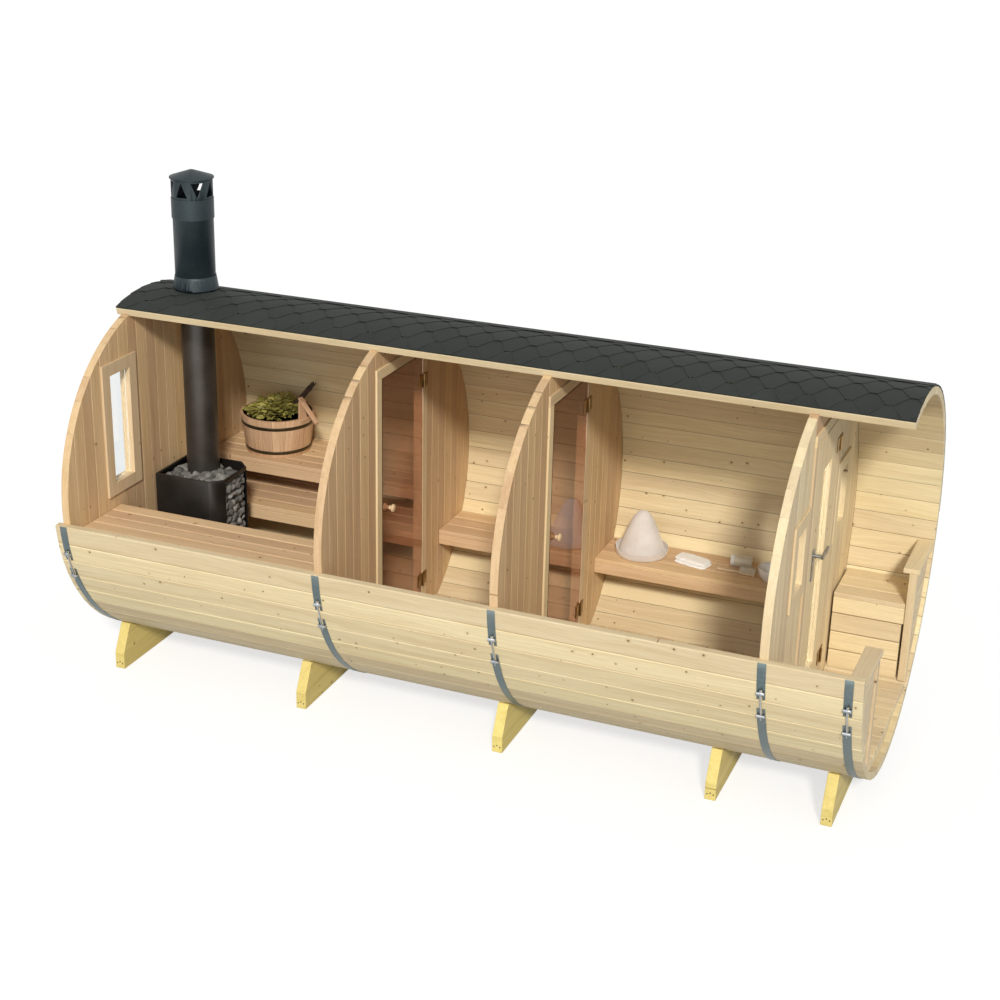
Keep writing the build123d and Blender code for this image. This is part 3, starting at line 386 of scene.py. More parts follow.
def islands(bm):
    left = set(bm.verts)
    groups = []
    for start in bm.verts:  # in their own order, so that each run gives the same boards the same grain
        if start not in left:
            continue
        left.discard(start)
        group, front = [start], [start]
        while front:
            vert = front.pop()
            for edge in vert.link_edges:
                other = edge.other_vert(vert)
                if other in left:
                    left.discard(other)
                    group.append(other)
                    front.append(other)
        groups.append(group)
    return groups


def scatter(dice, reach):
    return Vector([dice.uniform(-reach, reach) for _ in range(3)])


# Each board has its own place in the grain pattern, along its length or a given axis
def grainInto(bm, seed, barrelRound=False, along=None):
    grain = bm.verts.layers.float_vector.get("grain") or bm.verts.layers.float_vector.new("grain")
    tone = bm.verts.layers.float.get("tone") or bm.verts.layers.float.new("tone")
    dice = random.Random(seed)
    for group in islands(bm):
        low = Vector([min(v.co[k] for v in group) for k in range(3)])
        high = Vector([max(v.co[k] for v in group) for k in range(3)])
        size = high - low
        order = sorted(range(3), key=lambda k: -size[k])
        if along is not None:
            order.remove(along)
            order.insert(0, along)
        shift = scatter(dice, 9)
        shade = dice.random()
        for vert in group:
            if barrelRound:
                rise, back = vert.co.z - barrel["axisHeight"], vert.co.y
                flat = Vector((vert.co.x, math.atan2(rise, -back) * barrel["radius"],
                               math.hypot(rise, back)))
                if flat.y < -2.5:
                    flat.y += 2 * math.pi * barrel["radius"]
            else:
                flat = Vector([vert.co[k] for k in order])
            vert[grain] = flat + shift
            vert[tone] = shade


# Painted shade in the joints: points between the two faces of a board, away from its ends and cut edges, are
# marked to be darkened as shade in the grooves between boards
def paintJointShade(bm, depthOf, leaveOut):
    groove = bm.verts.layers.float.get("groove") or bm.verts.layers.float.new("groove")
    for group in islands(bm):
        depths = [depthOf(vert) for vert in group]
        low, high = min(depths) + 0.0009, max(depths) - 0.0009
        for vert, depth in zip(group, depths):
            vert[groove] = 1.0 if low < depth < high and not leaveOut(vert) else 0.0


def barrelDepth(vert):
    return math.hypot(vert.co.y, vert.co.z - barrel["axisHeight"])


def atStaveEdge(vert):
    turn = math.degrees(math.atan2(vert.co.z - barrel["axisHeight"], -vert.co.y))
    atCut = min(abs(turn - barrel["cutAngle"]), abs(turn - barrel["roofFront"])) < 1.0
    return atCut or abs(vert.co.x) > barrel["length"] / 2 - 0.0006


def sharpEdges(bm, angle=30.0, shortest=0.006):
    limit = math.radians(angle)
    return [e for e in bm.edges
            if len(e.link_faces) == 2 and e.calc_length() > shortest and e.calc_face_angle(0) > limit]


def bevelEdges(bm, edges, width, segments=1):
    bmesh.ops.bevel(bm, geom=edges, offset=width, segments=segments, affect="EDGES", profile=0.5,
                    material=-1, clamp_overlap=True)


def soften(bm, width, segments=1, angle=30.0):
    bevelEdges(bm, sharpEdges(bm, angle), width, segments)


def thicken(bm, thick):
    grown = bmesh.ops.extrude_face_region(bm, geom=bm.faces[:])["geom"]
    bmesh.ops.translate(bm, vec=(0, 0, thick),
                        verts=[v for v in grown if isinstance(v, bmesh.types.BMVert)])
    bmesh.ops.recalc_face_normals(bm, faces=bm.faces)


def clip(bm, point, outward):
    found = bmesh.ops.bisect_plane(bm, geom=bm.verts[:] + bm.edges[:] + bm.faces[:], plane_co=point,
                                   plane_no=outward, clear_outer=True)
    rim = [e for e in found["geom_cut"] if isinstance(e, bmesh.types.BMEdge) and e.is_boundary]
    if rim:
        bmesh.ops.holes_fill(bm, edges=rim, sides=0)


def addTo(joined, mesh, place=None, tone=None):
    part = mesh.copy()
    if place is not None:
        part.transform(place)
    first = len(joined.verts)
    joined.from_mesh(part)
    bpy.data.meshes.remove(part)
    if tone is not None:
        layer = joined.verts.layers.float.get("tone") or joined.verts.layers.float.new("tone")
        joined.verts.ensure_lookup_table()
        for index in range(first, len(joined.verts)):
            joined.verts[index][layer] = tone


# As addTo, for a mesh that isn't needed again
def pour(joined, mesh, place=None, tone=None):
    addTo(joined, mesh, place, tone)
    bpy.data.meshes.remove(mesh)


def dressTimber(node, finish, seed, width, barrelRound=False, along=None, body="body",
                segments=1):
    bm = mergedCopy(node)
    soften(bm, width, segments)
    grainInto(bm, seed, barrelRound, along)
    if barrelRound:
        # painted shade goes into the joints between the staves
        paintJointShade(bm, barrelDepth, atStaveEdge)
    keep(node + "_timber", bm, finish, [node], body=body)


def dressMetal(node, finish, width=0.0006, body="body"):
    bm = mergedCopy(node)
    soften(bm, width, 1, 35)
    keep(node + "_metal", bm, finish, [node], 35, body)


def paintGlass(node, finish):
    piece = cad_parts[node]
    piece.data.materials.clear()
    piece.data.materials.append(finishes[finish])
    piece.visible_shadow = False


# Barrel staves and timber

staveEdge = 0.0050
for number, node in enumerate(("staves_front", "staves_bottom", "staves_back_low", "staves_back_high",
                               "staves_top")):
    dressTimber(node, "staveWood", 10 + number, staveEdge, barrelRound=True)
print("staves ready")

seed = 30
for finish, slotName, width, along, nodes in (  # width of the edge rounding, axis of the grain
        ("treatedWood", "treated_wood", 0.003, 1, ["cradles"]),
        ("trimWood", "trim_wood", 0.0015, None, ["window_frames"]),
        ("trimWood", "trim_wood", 0.002, None, ["door_1_frame", "door_2_frame", "front_door_frame"]),
        ("floorWood", "floor_wood", 0.003, None, ["floor_boards"]),
        ("floorWood", "floor_wood", 0.002, None, ["floor_joists"]),
        ("benchWood", "bench_wood", 0.004, None, ["sauna_benches", "sauna_step", "middle_bench",
                                                  "changing_bench"]),
        ("floorWood", "bench_wood", 0.004, None, ["porch_bench", "porch_railings"])):
    for node in nodes:
        dressTimber(node, finish, seed, width, along=along, segments=2 if width > 0.0025 else 1)
        seed += 1
print("benches, floors and frames ready")


# Round walls of upright boards

# the last entry: beyond this distance from the barrel axis the board joints get no painted shade
wallLook = {"boardWidth": 0.096, "gap": 0.0014, "edge": 0.0020, "noShadeBeyond": 0.94}


def boardedWall(node, finish, seed):
    low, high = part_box(node)
    count = max(1, round((high.y - low.y) / wallLook["boardWidth"]))
    pitch = (high.y - low.y) / count
    whole = mergedCopy(node)
    joined = bmesh.new()
    for index in range(count):
        strip = whole.copy()
        for side, y in ((-1, low.y + index * pitch), (1, low.y + (index + 1) * pitch)):
            if (index == 0 and side < 0) or (index == count - 1 and side > 0):
                continue
            clip(strip, (0, y - side * wallLook["gap"] / 2, 0), (0, side, 0))
        uprights = [e for e in sharpEdges(strip, 40)
                    if abs((e.verts[0].co - e.verts[1].co).normalized().z) > 0.99]
        bevelEdges(strip, uprights, wallLook["edge"])
        pour(joined, toMesh(strip, "wallStrip"))
    whole.free()
    grainInto(joined, seed, along=2)
    # painted shade goes into the joints between the wall boards, except near the barrel
    paintJointShade(joined, lambda vert: vert.co.x, lambda vert: barrelDepth(vert) > wallLook["noShadeBeyond"])
    keep(node + "_boards", joined, finish, [node])


for number, node in enumerate((
        "back_wall", "partition_1_near", "partition_1_far", "partition_2_near", "partition_2_far",
        "front_wall_near", "front_wall_far", "doorway_heads", "doorway_sills")):
    boardedWall(node, "floorWood" if node.startswith("front") else "wallWood", 60 + number)
print("walls ready")

dressTimber("front_door_leaf", "trimWood", 80, 0.002, along=2, body="front_door")
for node, body in (("door_1_knob", "door_1"), ("door_2_knob", "door_2")):
    bm = mergedCopy(node)
    grainInto(bm, 81)
    keep(node + "_turned", bm, "knobWood", [node], 40, body)


# Steel, glass and bowl

for finish, slotName, body, nodes in (
        ("bandSteel", "band_steel", "body", ["bands"]),
        ("rodSteel", "rod_steel", "body", ["band_tensioners"]),
        ("hoopSteel", "hoop_steel", "body", ["tub_hoops"]),
        ("hingeBrass", "hinge_brass", "body", ["hinge_plates"]),
        ("hingeBrass", "hinge_brass", "door_1", ["door_1_hinges"]),
        ("hingeBrass", "hinge_brass", "door_2", ["door_2_hinges"]),
        ("hingeBrass", "hinge_brass", "front_door", ["front_door_hinges"]),
        ("rodSteel", "rod_steel", "front_door", ["front_door_handle"]),
        ("stoveSteel", "stove_steel", "body", ["stove_firebox", "stove_jacket"]),
        ("flueSteel", "flue_steel", "body", ["flue_pipe", "flue_spacers"]),
        ("chimneySteel", "chimney_steel", "body", ["chimney_tube", "chimney_flashing", "chimney_cap"])):
    for node in nodes:
        dressMetal(node, finish, body=body)
for node, finish in (("window_glass", "clearGlass"), ("front_door_glass", "clearGlass"),
                     ("door_1_glass", "tintedGlass"), ("door_2_glass", "tintedGlass")):
    paintGlass(node, finish)
dressMetal("soap_bowl", "whiteGlaze", 0.001)
print("steel, glass and bowl ready")


# Hexagon roof shingles in rows, pointing down to both eaves
shingleLook = {
    "pitch": 0.2, "rowStep": 5.931, "tipHalf": 0.020, "slantTo": 0.138, "half": 0.0988, "length": 0.230,
    "thick": 0.0032, "laps": 0.212, "frontRows": 5, "backRows": 13, "firstShift": 0.05,
    "starterLength": 0.1, "gap": 0.0005, "capWidth": 0.11, "capLength": 0.3, "capLift": 0.0066,
    "capSag": 0.0018, "capGap": 0.0015, "meetingReach": 14, "chimney": (-1.960, 0.080),
    "chimneyGap": 0.1245, "chimneyNear": 0.06, "holeSides": 16,
}


def onRoof(flat, x, angle, way):
    turn = math.radians(angle) + way * flat.y / barrel["roofRadius"]
    reach = barrel["roofRadius"] + flat.z
    return Vector((x + way * flat.x, -math.cos(turn) * reach,
                   barrel["axisHeight"] + math.sin(turn) * reach))


def makePlate(look, width, length, under, thick, rows=5, hexagon=False):
    bm = bmesh.new()
    bmesh.ops.create_grid(bm, x_segments=2, y_segments=rows, size=0.5)
    for vert in bm.verts:
        up = (vert.co.y + 0.5) * length
        half = width / 2
        if hexagon:
            half = look["tipHalf"] + (half - look["tipHalf"]) * min(1, up / look["slantTo"])
        vert.co = (vert.co.x * 2 * half, up, under(up))
    thicken(bm, thick)
    return bm


def makeShingles(look):
    dice = random.Random(7)
    joined = bmesh.new()
    end = barrel["length"] / 2
    meeting = barrel["roofFront"] + look["frontRows"] * look["rowStep"]
    tab = makePlate(look, 2 * look["half"], look["length"],
                    lambda up: max(0.0, 2 * look["thick"] * (1 - up / look["laps"])), look["thick"],
                    hexagon=True)
    centre = Vector((*look["chimney"], 0))

    def lay(flatTab, x, angle, way, tone):
        bm = flatTab.copy()
        for vert in bm.verts:
            vert.co = onRoof(vert.co, x, angle, way)
        if abs(x) > end - look["pitch"]:
            clip(bm, (math.copysign(end, x), 0, 0), (math.copysign(1, x), 0, 0))
        over = math.radians(meeting)
        if tone is not None and way * (meeting - angle) < look["meetingReach"]:
            clip(bm, (0, 0, barrel["axisHeight"]), (0, way * math.sin(over), way * math.cos(over)))
        near = min((math.hypot(v.co.x - centre.x, v.co.y - centre.y) for v in bm.verts), default=9)
        pieces = [bm]
        if near < look["chimneyGap"] + look["chimneyNear"]:
            pieces, rest = [], bm
            for side in range(look["holeSides"]):
                turn = side * 2 * math.pi / look["holeSides"]
                out = Vector((math.cos(turn), math.sin(turn), 0))
                outer = rest.copy()
                clip(outer, centre + out * look["chimneyGap"], -out)
                if outer.verts:
                    pieces.append(outer)
                clip(rest, centre + out * look["chimneyGap"], out)
                if not rest.verts:
                    break
            rest.free()
        for piece in pieces:
            pour(joined, toMesh(piece, "tab"), tone=dice.random() if tone is None else tone)

    rows = [(barrel["roofFront"] + k * look["rowStep"], 1) for k in range(look["frontRows"])]
    rows += [(barrel["roofBack"] - k * look["rowStep"], -1) for k in range(look["backRows"])]
    count = math.ceil(barrel["length"] / look["pitch"]) + 1
    for number, (angle, way) in enumerate(rows):
        shift = look["pitch"] / 2 * (number % 2)
        for step in range(count):
            x = -end + step * look["pitch"] - shift + look["firstShift"]
            if -end - look["half"] < x < end + look["half"]:
                lay(tab, x, angle, way, dice.random())
    # Starter strips under the first rows, and caps over the line where the rows meet
    starter = makePlate(look, look["pitch"] - look["gap"], look["starterLength"], lambda up: 0.0,
                        2 * look["thick"] - 0.0004, rows=3)
    capCount = round(barrel["length"] / look["capLength"])
    cap = makePlate(look, look["capLength"] - look["capGap"], look["capWidth"],
                    lambda up: look["capLift"] + look["capSag"] * abs(2 * up / look["capWidth"] - 1),
                    look["thick"], rows=4)
    for angle, way in ((barrel["roofFront"], 1), (barrel["roofBack"], -1)):
        for step in range(count):
            x = -end + (step + 0.5) * look["pitch"]
            if x - look["pitch"] / 2 < end:
                lay(starter, x, angle, way, None)
    for step in range(capCount):
        lay(cap, -end + (step + 0.5) * look["capLength"],
            meeting - math.degrees(look["capWidth"] / 2 / barrel["roofRadius"]), 1, None)
    for flatTab in (tab, starter, cap):
        flatTab.free()
    bmesh.ops.dissolve_degenerate(joined, dist=1e-6, edges=joined.edges)
    keep("roof_shingles", joined, "roofFelt", ["roof_covering"])


makeShingles(shingleLook)
print("roof shingles ready")


# Split stones heaped in the stove
stoneLook = {
    "low": (-2.1300, -0.1700, 0.62), "high": (-1.7105, 0.2100, 1.070), "corner": 0.078, "small": 0.027,
    "large": 0.042, "kinds": 9, "facets": 7, "layers": 2, "across": (9, 8), "step": 0.050, "firstX": 0.032,
    "firstY": 0.030, "margin": 0.02, "top": 1.040, "dome": 0.022, "layerDown": 0.036, "jitter": 0.012,
    "sideRows": 8, "sideAcross": 6, "sideIn": 0.033, "sideFirst": 0.125, "sideStep": 0.047,
    "sideLow": 0.652, "sideUp": 0.048, "core": 0.90,
}


def makeStone(dice, facets):
    bm = bmesh.new()
    bmesh.ops.create_icosphere(bm, subdivisions=2, radius=1.0)
    for _ in range(facets):
        flat = scatter(dice, 1).normalized()
        reach = dice.uniform(0.55, 0.85)
        for vert in bm.verts:
            beyond = vert.co.dot(flat) - reach
            if beyond > 0:
                vert.co -= flat * beyond
    for vert in bm.verts:
        vert.co *= dice.uniform(0.95, 1.05)
    return toMesh(bm, "stone")


def makeStones(look):
    dice = random.Random(21)
    kinds = [makeStone(dice, look["facets"]) for _ in range(look["kinds"])]
    low, high = Vector(look["low"]), Vector(look["high"])
    middle, reach = (low + high) / 2, (high - low) / 2
    spots = []
    step = look["step"]
    for layer in range(look["layers"]):  # the heap seen from above
        for i in range(look["across"][0]):
            for j in range(look["across"][1]):
                x = low.x + look["firstX"] + (i + 0.5 * (layer % 2)) * step
                y = low.y + look["firstY"] + (j + 0.5 * ((i + layer) % 2)) * step
                if x < high.x - look["margin"] and y < high.y - look["margin"]:
                    out = math.hypot((x - middle.x) / reach.x, (y - middle.y) / reach.y)
                    down = look["dome"] * out
                    spots.append((x, y, look["top"] - down - layer * look["layerDown"]
                                  + dice.uniform(-look["jitter"], look["jitter"])))
    for k in range(look["sideRows"]):  # the side behind the open window
        for j in range(look["sideAcross"]):
            y = middle.y - look["sideFirst"] + (j + 0.5 * (k % 2)) * look["sideStep"]
            spots.append((high.x - look["sideIn"], y, look["sideLow"] + k * look["sideUp"]))
    joined = bmesh.new()
    for x, y, z in spots:
        size = dice.uniform(look["small"], look["large"])
        squeeze = Matrix.Diagonal((dice.uniform(0.85, 1.2), dice.uniform(0.85, 1.2),
                                   dice.uniform(0.7, 1.0), 1))
        turn = Matrix.Rotation(dice.uniform(0, 6.28), 4,
                               Vector((dice.random(), dice.random(), dice.random() + 0.1)))
        place = Matrix.Translation((x + dice.uniform(-0.006, 0.006), y + dice.uniform(-0.006, 0.006), z))
        kind = dice.choice(kinds)
        addTo(joined, kind, place @ squeeze @ turn @ Matrix.Scale(size, 4), dice.random() ** 1.4)
    for vert in joined.verts:
        for k in range(3):
            vert.co[k] = min(max(vert.co[k], low[k]), high[k])
        left = [reach[k] - abs(vert.co[k] - middle[k]) for k in range(2)]
        short = look["corner"] - sum(left)
        if short > 0:
            for k in range(2):
                vert.co[k] -= math.copysign(short / 2, vert.co[k] - middle[k])
    for kind in kinds:
        bpy.data.meshes.remove(kind)
    keep("stove_stone_heap", joined, "stoneGrey", ["stove_stones"])
    # a dark core inside the heap in the stove's steel finish: painted shade that shows in the gaps between
    # the stones
    core = mergedCopy("stove_stones")
    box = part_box("stove_stones")
    for vert in core.verts:
        for k in range(2):
            centre = (box[0][k] + box[1][k]) / 2
            vert.co[k] = centre + (vert.co[k] - centre) * look["core"]
        vert.co.z = box[0].z + (vert.co.z - box[0].z) * look["core"]
    keep("stove_stone_shade_core", core, "stoveSteel")


makeStones(stoneLook)
print("stove stones ready")


# Tub of staves, with the tall ear stave and its grip
tubLook = {"centre": (-1.810, 0.736), "rim": 1.2350, "staves": 17, "earTurn": -18.5, "gap": 0.0008,
           "edge": 0.0030}


def makeTub(look):
    whole = mergedCopy("tub")
    ear = whole.copy()
    clip(ear, (0, 0, look["rim"] + 0.0002), (0, 0, -1))
    clip(whole, (0, 0, look["rim"]), (0, 0, 1))
    joined = bmesh.new()
    half = math.pi / look["staves"]
    for number in range(look["staves"]):
        turn = math.radians(look["earTurn"]) + 2 * half * number
        stave = whole.copy()
        for side in (-1, 1):
            edge = turn + side * half
            out = Vector((-math.sin(edge), math.cos(edge), 0)) * side
            clip(stave, Vector((*look["centre"], 0)) - out * look["gap"], out)
        soften(stave, look["edge"], 1, 40)
        pour(joined, toMesh(stave, "tubStave"))
    soften(ear, look["edge"], 2, 40)
    pour(joined, toMesh(ear, "tubEar"))
    whole.free()
    grainInto(joined, 90, along=2)
    keep("tub_staves", joined, "tubWood", ["tub"], 28)


makeTub(tubLook)


# Bound leaf whisk standing in the tub
whiskLook = {
    "leaves": 460, "leafLong": 0.062, "leafHalf": 0.020, "leafThick": 0.0005, "leafFold": 0.005,
    "leafDroop": 0.016, "centre": (-1.812, 0.734, 1.200), "spread": 0.195, "dome": 0.075,
    "insideRim": 0.205, "aboveRim": 0.226, "rimClear": 0.006, "handleFoot": (-1.80, 0.775, 1.16),
    "handleEnd": (-1.615, 0.850, 1.405), "twigs": 9, "twig": 0.0050,
    "strings": (0.42, 0.47, 0.52, 0.82, 0.87),
}


def makeLeaf(look):
    bm = bmesh.new()
    bmesh.ops.create_grid(bm, x_segments=2, y_segments=5, size=0.5)
    for vert in bm.verts:
        along = vert.co.y + 0.5
        half = look["leafHalf"] * math.sin(math.pi * min(1.0, 0.04 + 0.95 * along ** 0.8))
        x = vert.co.x * 2
        rise = abs(x) * look["leafFold"] - look["leafDroop"] * along * along
        vert.co = (x * half, along * look["leafLong"], rise)
    thicken(bm, look["leafThick"])
    return toMesh(bm, "leaf")


def makeRod(foot, end, radius, sides, tip=1.0):
    bm = bmesh.new()
    way = Vector(end) - Vector(foot)
    bmesh.ops.create_cone(bm, cap_ends=True, segments=sides, radius1=radius, radius2=radius * tip,
                          depth=way.length)
    place = Matrix.Translation(Vector(foot) + way / 2) @ way.to_track_quat("Z", "Y").to_matrix().to_4x4()
    bmesh.ops.transform(bm, matrix=place, verts=bm.verts)
    return toMesh(bm, "rod")


def makeWhisk(look):
    dice = random.Random(33)
    leaf = makeLeaf(look)
    joined = bmesh.new()
    centre = Vector(look["centre"])
    for number in range(look["leaves"]):
        turn, out = dice.uniform(0, 2 * math.pi), dice.random() ** 0.6
        away = out * look["spread"]
        rise = look["dome"] * (1 - out * out) + dice.uniform(-0.035, 0.022)
        spot = centre + Vector((math.cos(turn) * away, math.sin(turn) * away, rise))
        lean = (Matrix.Rotation(turn - math.pi / 2 + dice.uniform(-0.9, 0.9), 4, "Z")
                @ Matrix.Rotation(dice.uniform(0.15, 1.1) * (1.25 - out), 4, "X")
                @ Matrix.Rotation(dice.uniform(-0.7, 0.7), 4, "Y"))
        size = dice.uniform(0.7, 1.15)
        addTo(joined, leaf, Matrix.Translation(spot) @ lean @ Matrix.Scale(size, 4), dice.random())
    bpy.data.meshes.remove(leaf)
    for vert in joined.verts:  # the leaves stay inside the tub's wall below its rim
        away = Vector((vert.co.x - tubLook["centre"][0], vert.co.y - tubLook["centre"][1], 0))
        limit = look["insideRim"] if vert.co.z < tubLook["rim"] + look["rimClear"] else look["aboveRim"]
        if away.length > limit:
            vert.co -= away * (1 - limit / away.length)
    keep("whisk_leaves", joined, "leafGreen")
    foot, end = Vector(look["handleFoot"]), Vector(look["handleEnd"])
    way = (end - foot).normalized()
    across = way.orthogonal().normalized()
    twigs = bmesh.new()
    for number in range(look["twigs"]):
        around = Matrix.Rotation(number * 2 * math.pi / (look["twigs"] - 1), 3, way)
        aside = (around @ across) * min(number, 1) * look["twig"] * 2.1
        top = end + aside + way * dice.uniform(-0.012, 0.012)
        pour(twigs, makeRod(foot + aside * 1.6, top, look["twig"], 8, 0.9))
    for share in look["strings"]:
        spot = foot.lerp(end, share)
        pour(twigs, makeRod(spot - way * 0.005, spot + way * 0.005, look["twig"] * 3.5, 14))
    keep("whisk_handle", twigs, "twigBrown", smoothAngle=40)


makeWhisk(whiskLook)
print("tub and whisk ready")


# Felt hat: four sewn panels with the brim turned up
hatLook = {"centre": (0.610, 0.718, 0.7158), "steps": 96, "thick": 0.0032, "gapTurn": 200, "gapHalf": 9.0,
           "brimFrom": 0.1428, "seamHalf": 4.0, "seamHigh": 0.0014, "lumpScale": 17, "lumpHigh": 0.0022,
           "profile": ((0.0, 0.2692), (0.016, 0.2670), (0.030, 0.2590), (0.043, 0.2460), (0.056, 0.2260),
                       (0.070, 0.1980), (0.084, 0.1660), (0.098, 0.1300), (0.112, 0.0930),
                       (0.125, 0.0560), (0.1335, 0.0280), (0.1375, 0.0120), (0.1410, 0.0042),
                       (0.1450, 0.0050), (0.1485, 0.0140), (0.1510, 0.0300), (0.1530, 0.0450))}


def makeHat(look):
    bm = bmesh.new()
    verts = [bm.verts.new((radius, 0, z)) for radius, z in look["profile"]]
    edges = [bm.edges.new(pair) for pair in zip(verts, verts[1:])]
    bmesh.ops.spin(bm, geom=verts + edges, cent=(0, 0, 0), axis=(0, 0, 1), dvec=(0, 0, 0),
                   steps=look["steps"], angle=2 * math.pi, use_merge=True)
    bmesh.ops.remove_doubles(bm, verts=bm.verts, dist=1e-5)

    def inGap(face):  # the notch in the turned-up brim
        x, y = face.calc_center_median()[:2]
        away = abs((math.degrees(math.atan2(y, x)) - look["gapTurn"] + 180) % 360 - 180)
        return math.hypot(x, y) > look["brimFrom"] and away < look["gapHalf"]

    bmesh.ops.delete(bm, geom=[f for f in bm.faces if inGap(f)], context="FACES")
    bmesh.ops.recalc_face_normals(bm, faces=bm.faces)
    if sum(f.normal.dot(f.calc_center_median() - Vector((0, 0, 0.1))) for f in bm.faces) < 0:
        bmesh.ops.reverse_faces(bm, faces=bm.faces)
    bmesh.ops.solidify(bm, geom=bm.faces[:], thickness=look["thick"])
    for vert in bm.verts:
        turn = math.atan2(vert.co.y, vert.co.x)
        seam = max(0.0, 1 - abs((math.degrees(turn) + 45) % 90 - 45) / look["seamHalf"])
        away = Vector((vert.co.x, vert.co.y, 0))
        lump = noise.noise(vert.co * look["lumpScale"]) * look["lumpHigh"]
        swell = lump + (look["seamHigh"] * seam if away.length > 0.01 and vert.co.z > 0.03 else 0)
        if away.length > 0.004:
            vert.co += away.normalized() * swell
        vert.co.z = max(vert.co.z, 0.0)
        vert.co += Vector(look["centre"])
    keep("hat_shell", bm, "wovenFelt", ["felt_hat"], 60)


makeHat(hatLook)


# Bath mitt of white towelling: two padded layers folded over each other
mittLook = {
    "centre": (0.932, 0.700), "turn": -16.0, "base": 0.7158, "voxel": 0.0045, "pressure": 4.0, "cap": 0.006,
    "frames": 20, "creaseScale": 30, "creaseHigh": 0.0016,
    "under": {"long": 0.218, "wide": 0.134, "thick": 0.006, "shift": (0.002, -0.003), "lift": 0.0034},
    "over": {"long": 0.188, "wide": 0.112, "thick": 0.007, "shift": (0.006, 0.010), "lift": 0.0160},
    "cuff": {"long": 0.034, "wide": 0.106, "high": 0.020, "wall": 0.0028, "flare": 0.10, "overlap": 0.004,
             "lift": 0.0035, "low": 0.0085, "creaseScale": 40, "creaseHigh": 0.0012},
}


def mittPlace(look):
    turn = Matrix.Rotation(math.radians(look["turn"]), 4, "Z")
    return Matrix.Translation((*look["centre"], look["base"])) @ turn


def makePad(name, look, size):
    bm = bmesh.new()
    bmesh.ops.create_grid(bm, x_segments=24, y_segments=14, size=0.5)
    for vert in bm.verts:
        along, aside = vert.co.x * 2, vert.co.y * 2
        wide = 1 - 0.20 * max(0.0, along) ** 3 - 0.10 * max(0.0, -along) ** 4
        vert.co.x = along * (1 - 0.10 * abs(aside) ** 4) * size["long"] / 2 + size["shift"][0]
        vert.co.y = aside * wide * size["wide"] / 2 + size["shift"][1]
        vert.co.z = size["lift"]
    thicken(bm, size["thick"])
    pad = keep(name, bm, "whiteCloth")
    remesh = pad.modifiers.new("voxels", "REMESH")
    remesh.mode = "VOXEL"
    remesh.voxel_size = look["voxel"]
    pad.data = bpy.data.meshes.new_from_object(pad.evaluated_get(bpy.context.evaluated_depsgraph_get()))
    pad.modifiers.clear()
    start = [v.co.copy() for v in pad.data.vertices]
    cloth = pad.modifiers.new("puff", "CLOTH")
    cloth.settings.use_pressure = True
    cloth.settings.uniform_pressure_force = look["pressure"]
    cloth.settings.effector_weights.gravity = 0
    for number in range(1, look["frames"] + 1):
        scene.frame_set(number)
    puffed = pad.evaluated_get(bpy.context.evaluated_depsgraph_get()).data
    places = [v.co.copy() for v in puffed.vertices]
    pad.modifiers.clear()
    scene.frame_set(1)
    for vert, first, last in zip(pad.data.vertices, start, places):
        move = last - first
        vert.co = first + move * min(1.0, look["cap"] / max(move.length, 1e-9))
    for vert in pad.data.vertices:
        crease = noise.noise(vert.co * look["creaseScale"]) * look["creaseHigh"]
        vert.co.z = max(vert.co.z + crease, 0.0004)
    pad.data.transform(mittPlace(look))
    pad.data.materials.clear()
    pad.data.materials.append(finishes["whiteCloth"])
    pad.data.shade_smooth()
    smooth = pad.modifiers.new("smoothCloth", "SUBSURF")
    smooth.levels = smooth.render_levels = 1
    return pad


def makeCuff(look):
    cuff, over = look["cuff"], look["over"]
    bm = bmesh.new()
    bmesh.ops.create_cone(bm, cap_ends=False, segments=40, radius1=0.5, radius2=0.47, depth=cuff["long"])
    bmesh.ops.rotate(bm, cent=(0, 0, 0), matrix=Matrix.Rotation(-math.pi / 2, 3, "Y"), verts=bm.verts)
    bmesh.ops.scale(bm, vec=(1, cuff["wide"], cuff["high"]), verts=bm.verts)
    lengthwise = [e for e in bm.edges if abs(e.verts[0].co.x - e.verts[1].co.x) > 0.01]
    bmesh.ops.subdivide_edges(bm, edges=lengthwise, cuts=5)
    bmesh.ops.recalc_face_normals(bm, faces=bm.faces)
    bmesh.ops.solidify(bm, geom=bm.faces[:], thickness=cuff["wall"])
    left = over["shift"][0] - over["long"] / 2
    for vert in bm.verts:
        flare = max(0.0, -vert.co.x / cuff["long"])
        vert.co.z *= 1 + cuff["flare"] * flare
        vert.co += Vector((left + cuff["overlap"], over["shift"][1], over["lift"] + cuff["lift"]))
        crease = noise.noise(vert.co * cuff["creaseScale"]) * cuff["creaseHigh"]
        vert.co.z = max(vert.co.z + crease, cuff["low"])
    bmesh.ops.transform(bm, matrix=mittPlace(look), verts=bm.verts)
    piece = keep("mitt_cuff", bm, "whiteCloth", smoothAngle=60)


makePad("mitt_lower", mittLook, mittLook["under"])
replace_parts(makePad("mitt_upper", mittLook, mittLook["over"]), "bath_mitt")
makeCuff(mittLook)
print("hat and mitt ready")


# Flat brush and scrubbing roll
brushLook = {
    "head": (1.262, 0.680), "headLong": 0.095, "headWide": 0.046, "backThick": 0.012, "base": 0.7158,
    "bristle": 0.027, "tufts": (17, 7), "tuftStep": (0.0052, 0.0058), "tuftRadius": 0.0016,
    "gripLong": 0.140, "gripWide": 0.019, "gripThick": 0.011, "gripInto": 0.006, "edge": 0.005,
    "roll": (1.200, 0.775), "rollRadius": 0.034, "rollLong": 0.125, "rollTurn": 8.0, "rollBand": 0.022,
    "loops": (30, 34), "loopStep": 0.0034, "loopRadius": 0.0013, "coreIn": 0.007, "loopIn": 0.0085,
    "bandIn": 0.0015, "bandEdge": 0.003,
}


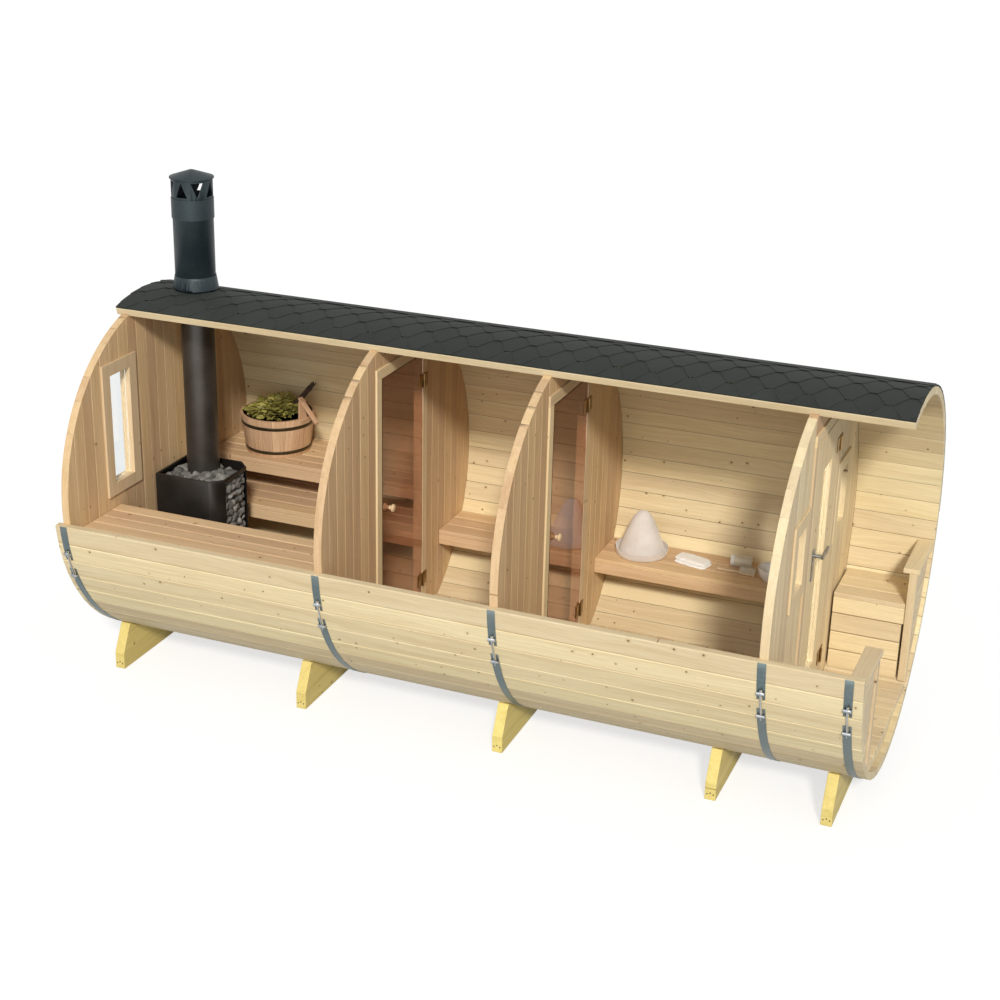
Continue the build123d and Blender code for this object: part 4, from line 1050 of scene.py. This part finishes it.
def roundedBlock(size, centre, edge):
    bm = bmesh.new()
    bmesh.ops.create_cube(bm, size=1.0)
    bmesh.ops.scale(bm, vec=size, verts=bm.verts)
    bmesh.ops.translate(bm, vec=centre, verts=bm.verts)
    bmesh.ops.bevel(bm, geom=bm.edges[:], offset=edge, segments=3, affect="EDGES", profile=0.5, material=-1)
    return toMesh(bm, "block")


def makeBrushes(look):
    dice = random.Random(44)
    wood = bmesh.new()
    x, y = look["head"]
    headEnd = x - look["headLong"] / 2
    for mesh in (
            roundedBlock((look["headLong"], look["headWide"], look["backThick"]),
                         (x, y, look["base"] + look["backThick"] / 2), look["edge"]),
            roundedBlock((look["gripLong"], look["gripWide"], look["gripThick"]),
                         (headEnd - look["gripLong"] / 2 + look["gripInto"], y,
                          look["base"] + look["gripThick"] / 2), look["edge"])):
        pour(wood, mesh)
    grainInto(wood, 45, along=0)
    keep("brush_back", wood, "brushWood", ["bath_brushes"], 40)
    hairs = bmesh.new()
    top = look["base"] + look["backThick"] - 0.001
    for i in range(look["tufts"][0]):
        for j in range(look["tufts"][1]):
            foot = Vector((x + (i - look["tufts"][0] // 2) * look["tuftStep"][0],
                           y + (j - look["tufts"][1] // 2) * look["tuftStep"][1], top))
            lean = Vector((dice.uniform(-0.003, 0.003), dice.uniform(-0.003, 0.003), look["bristle"]))
            rod = makeRod(foot, foot + lean * dice.uniform(0.92, 1.0), look["tuftRadius"], 5, 0.75)
            pour(hairs, rod, tone=dice.random())
    turn = Matrix.Rotation(math.radians(look["rollTurn"]), 4, "Z")
    centre = Vector((*look["roll"], look["base"] + look["rollRadius"]))
    place = Matrix.Translation(centre) @ turn
    way = Vector((look["rollLong"] / 2, 0, 0))
    pour(hairs, makeRod(-way * 0.98, way * 0.98, look["rollRadius"] - look["coreIn"], 28), place, 0.4)
    for i in range(look["loops"][0]):
        for j in range(look["loops"][1]):
            along = -look["rollLong"] / 2 + look["rollBand"] + (i + 0.5 * (j % 2)) * look["loopStep"]
            around = j * 2 * math.pi / look["loops"][1] + dice.uniform(-0.05, 0.05)
            out = Vector((0, math.cos(around), math.sin(around)))
            foot = Vector((along, 0, 0)) + out * (look["rollRadius"] - look["loopIn"])
            rod = makeRod(foot, foot + out * dice.uniform(0.0068, 0.0084), look["loopRadius"], 4, 0.6)
            pour(hairs, rod, place, dice.random())
    keep("brush_bristles", hairs, "sisal")
    band = bmesh.new()
    start = Vector((-look["rollLong"] / 2, 0, 0))
    end = start + Vector((look["rollBand"], 0, 0))
    pour(band, makeRod(start, end, look["rollRadius"] - look["bandIn"], 32), place)
    soften(band, look["bandEdge"], 3, 40)
    keep("roll_band", band, "whiteCloth", smoothAngle=50)


makeBrushes(brushLook)


# Screws in the cradle ends
screwLook = {"cradles": (-2.145, -0.943, 0.259, 1.461, 2.075), "end": 0.640, "height": 0.034,
             "middleUp": 0.008, "radius": 0.0048, "spread": 0.017, "sunk": 0.004, "proud": 0.0006}


def makeScrews(look):
    joined = bmesh.new()
    for x in look["cradles"]:
        for side in (-1, 1):
            for step in (-1, 0, 1):
                y = side * look["end"]
                up = look["height"] + look["middleUp"] * (step == 0)
                spot = Vector((x + step * look["spread"], y, up))
                pour(joined, makeRod(spot - Vector((0, side * look["sunk"], 0)),
                                     spot + Vector((0, side * look["proud"], 0)), look["radius"], 14, 0.85))
    keep("cradle_screws", joined, "hoopSteel", smoothAngle=35)


makeScrews(screwLook)
print("brushes and screws ready")
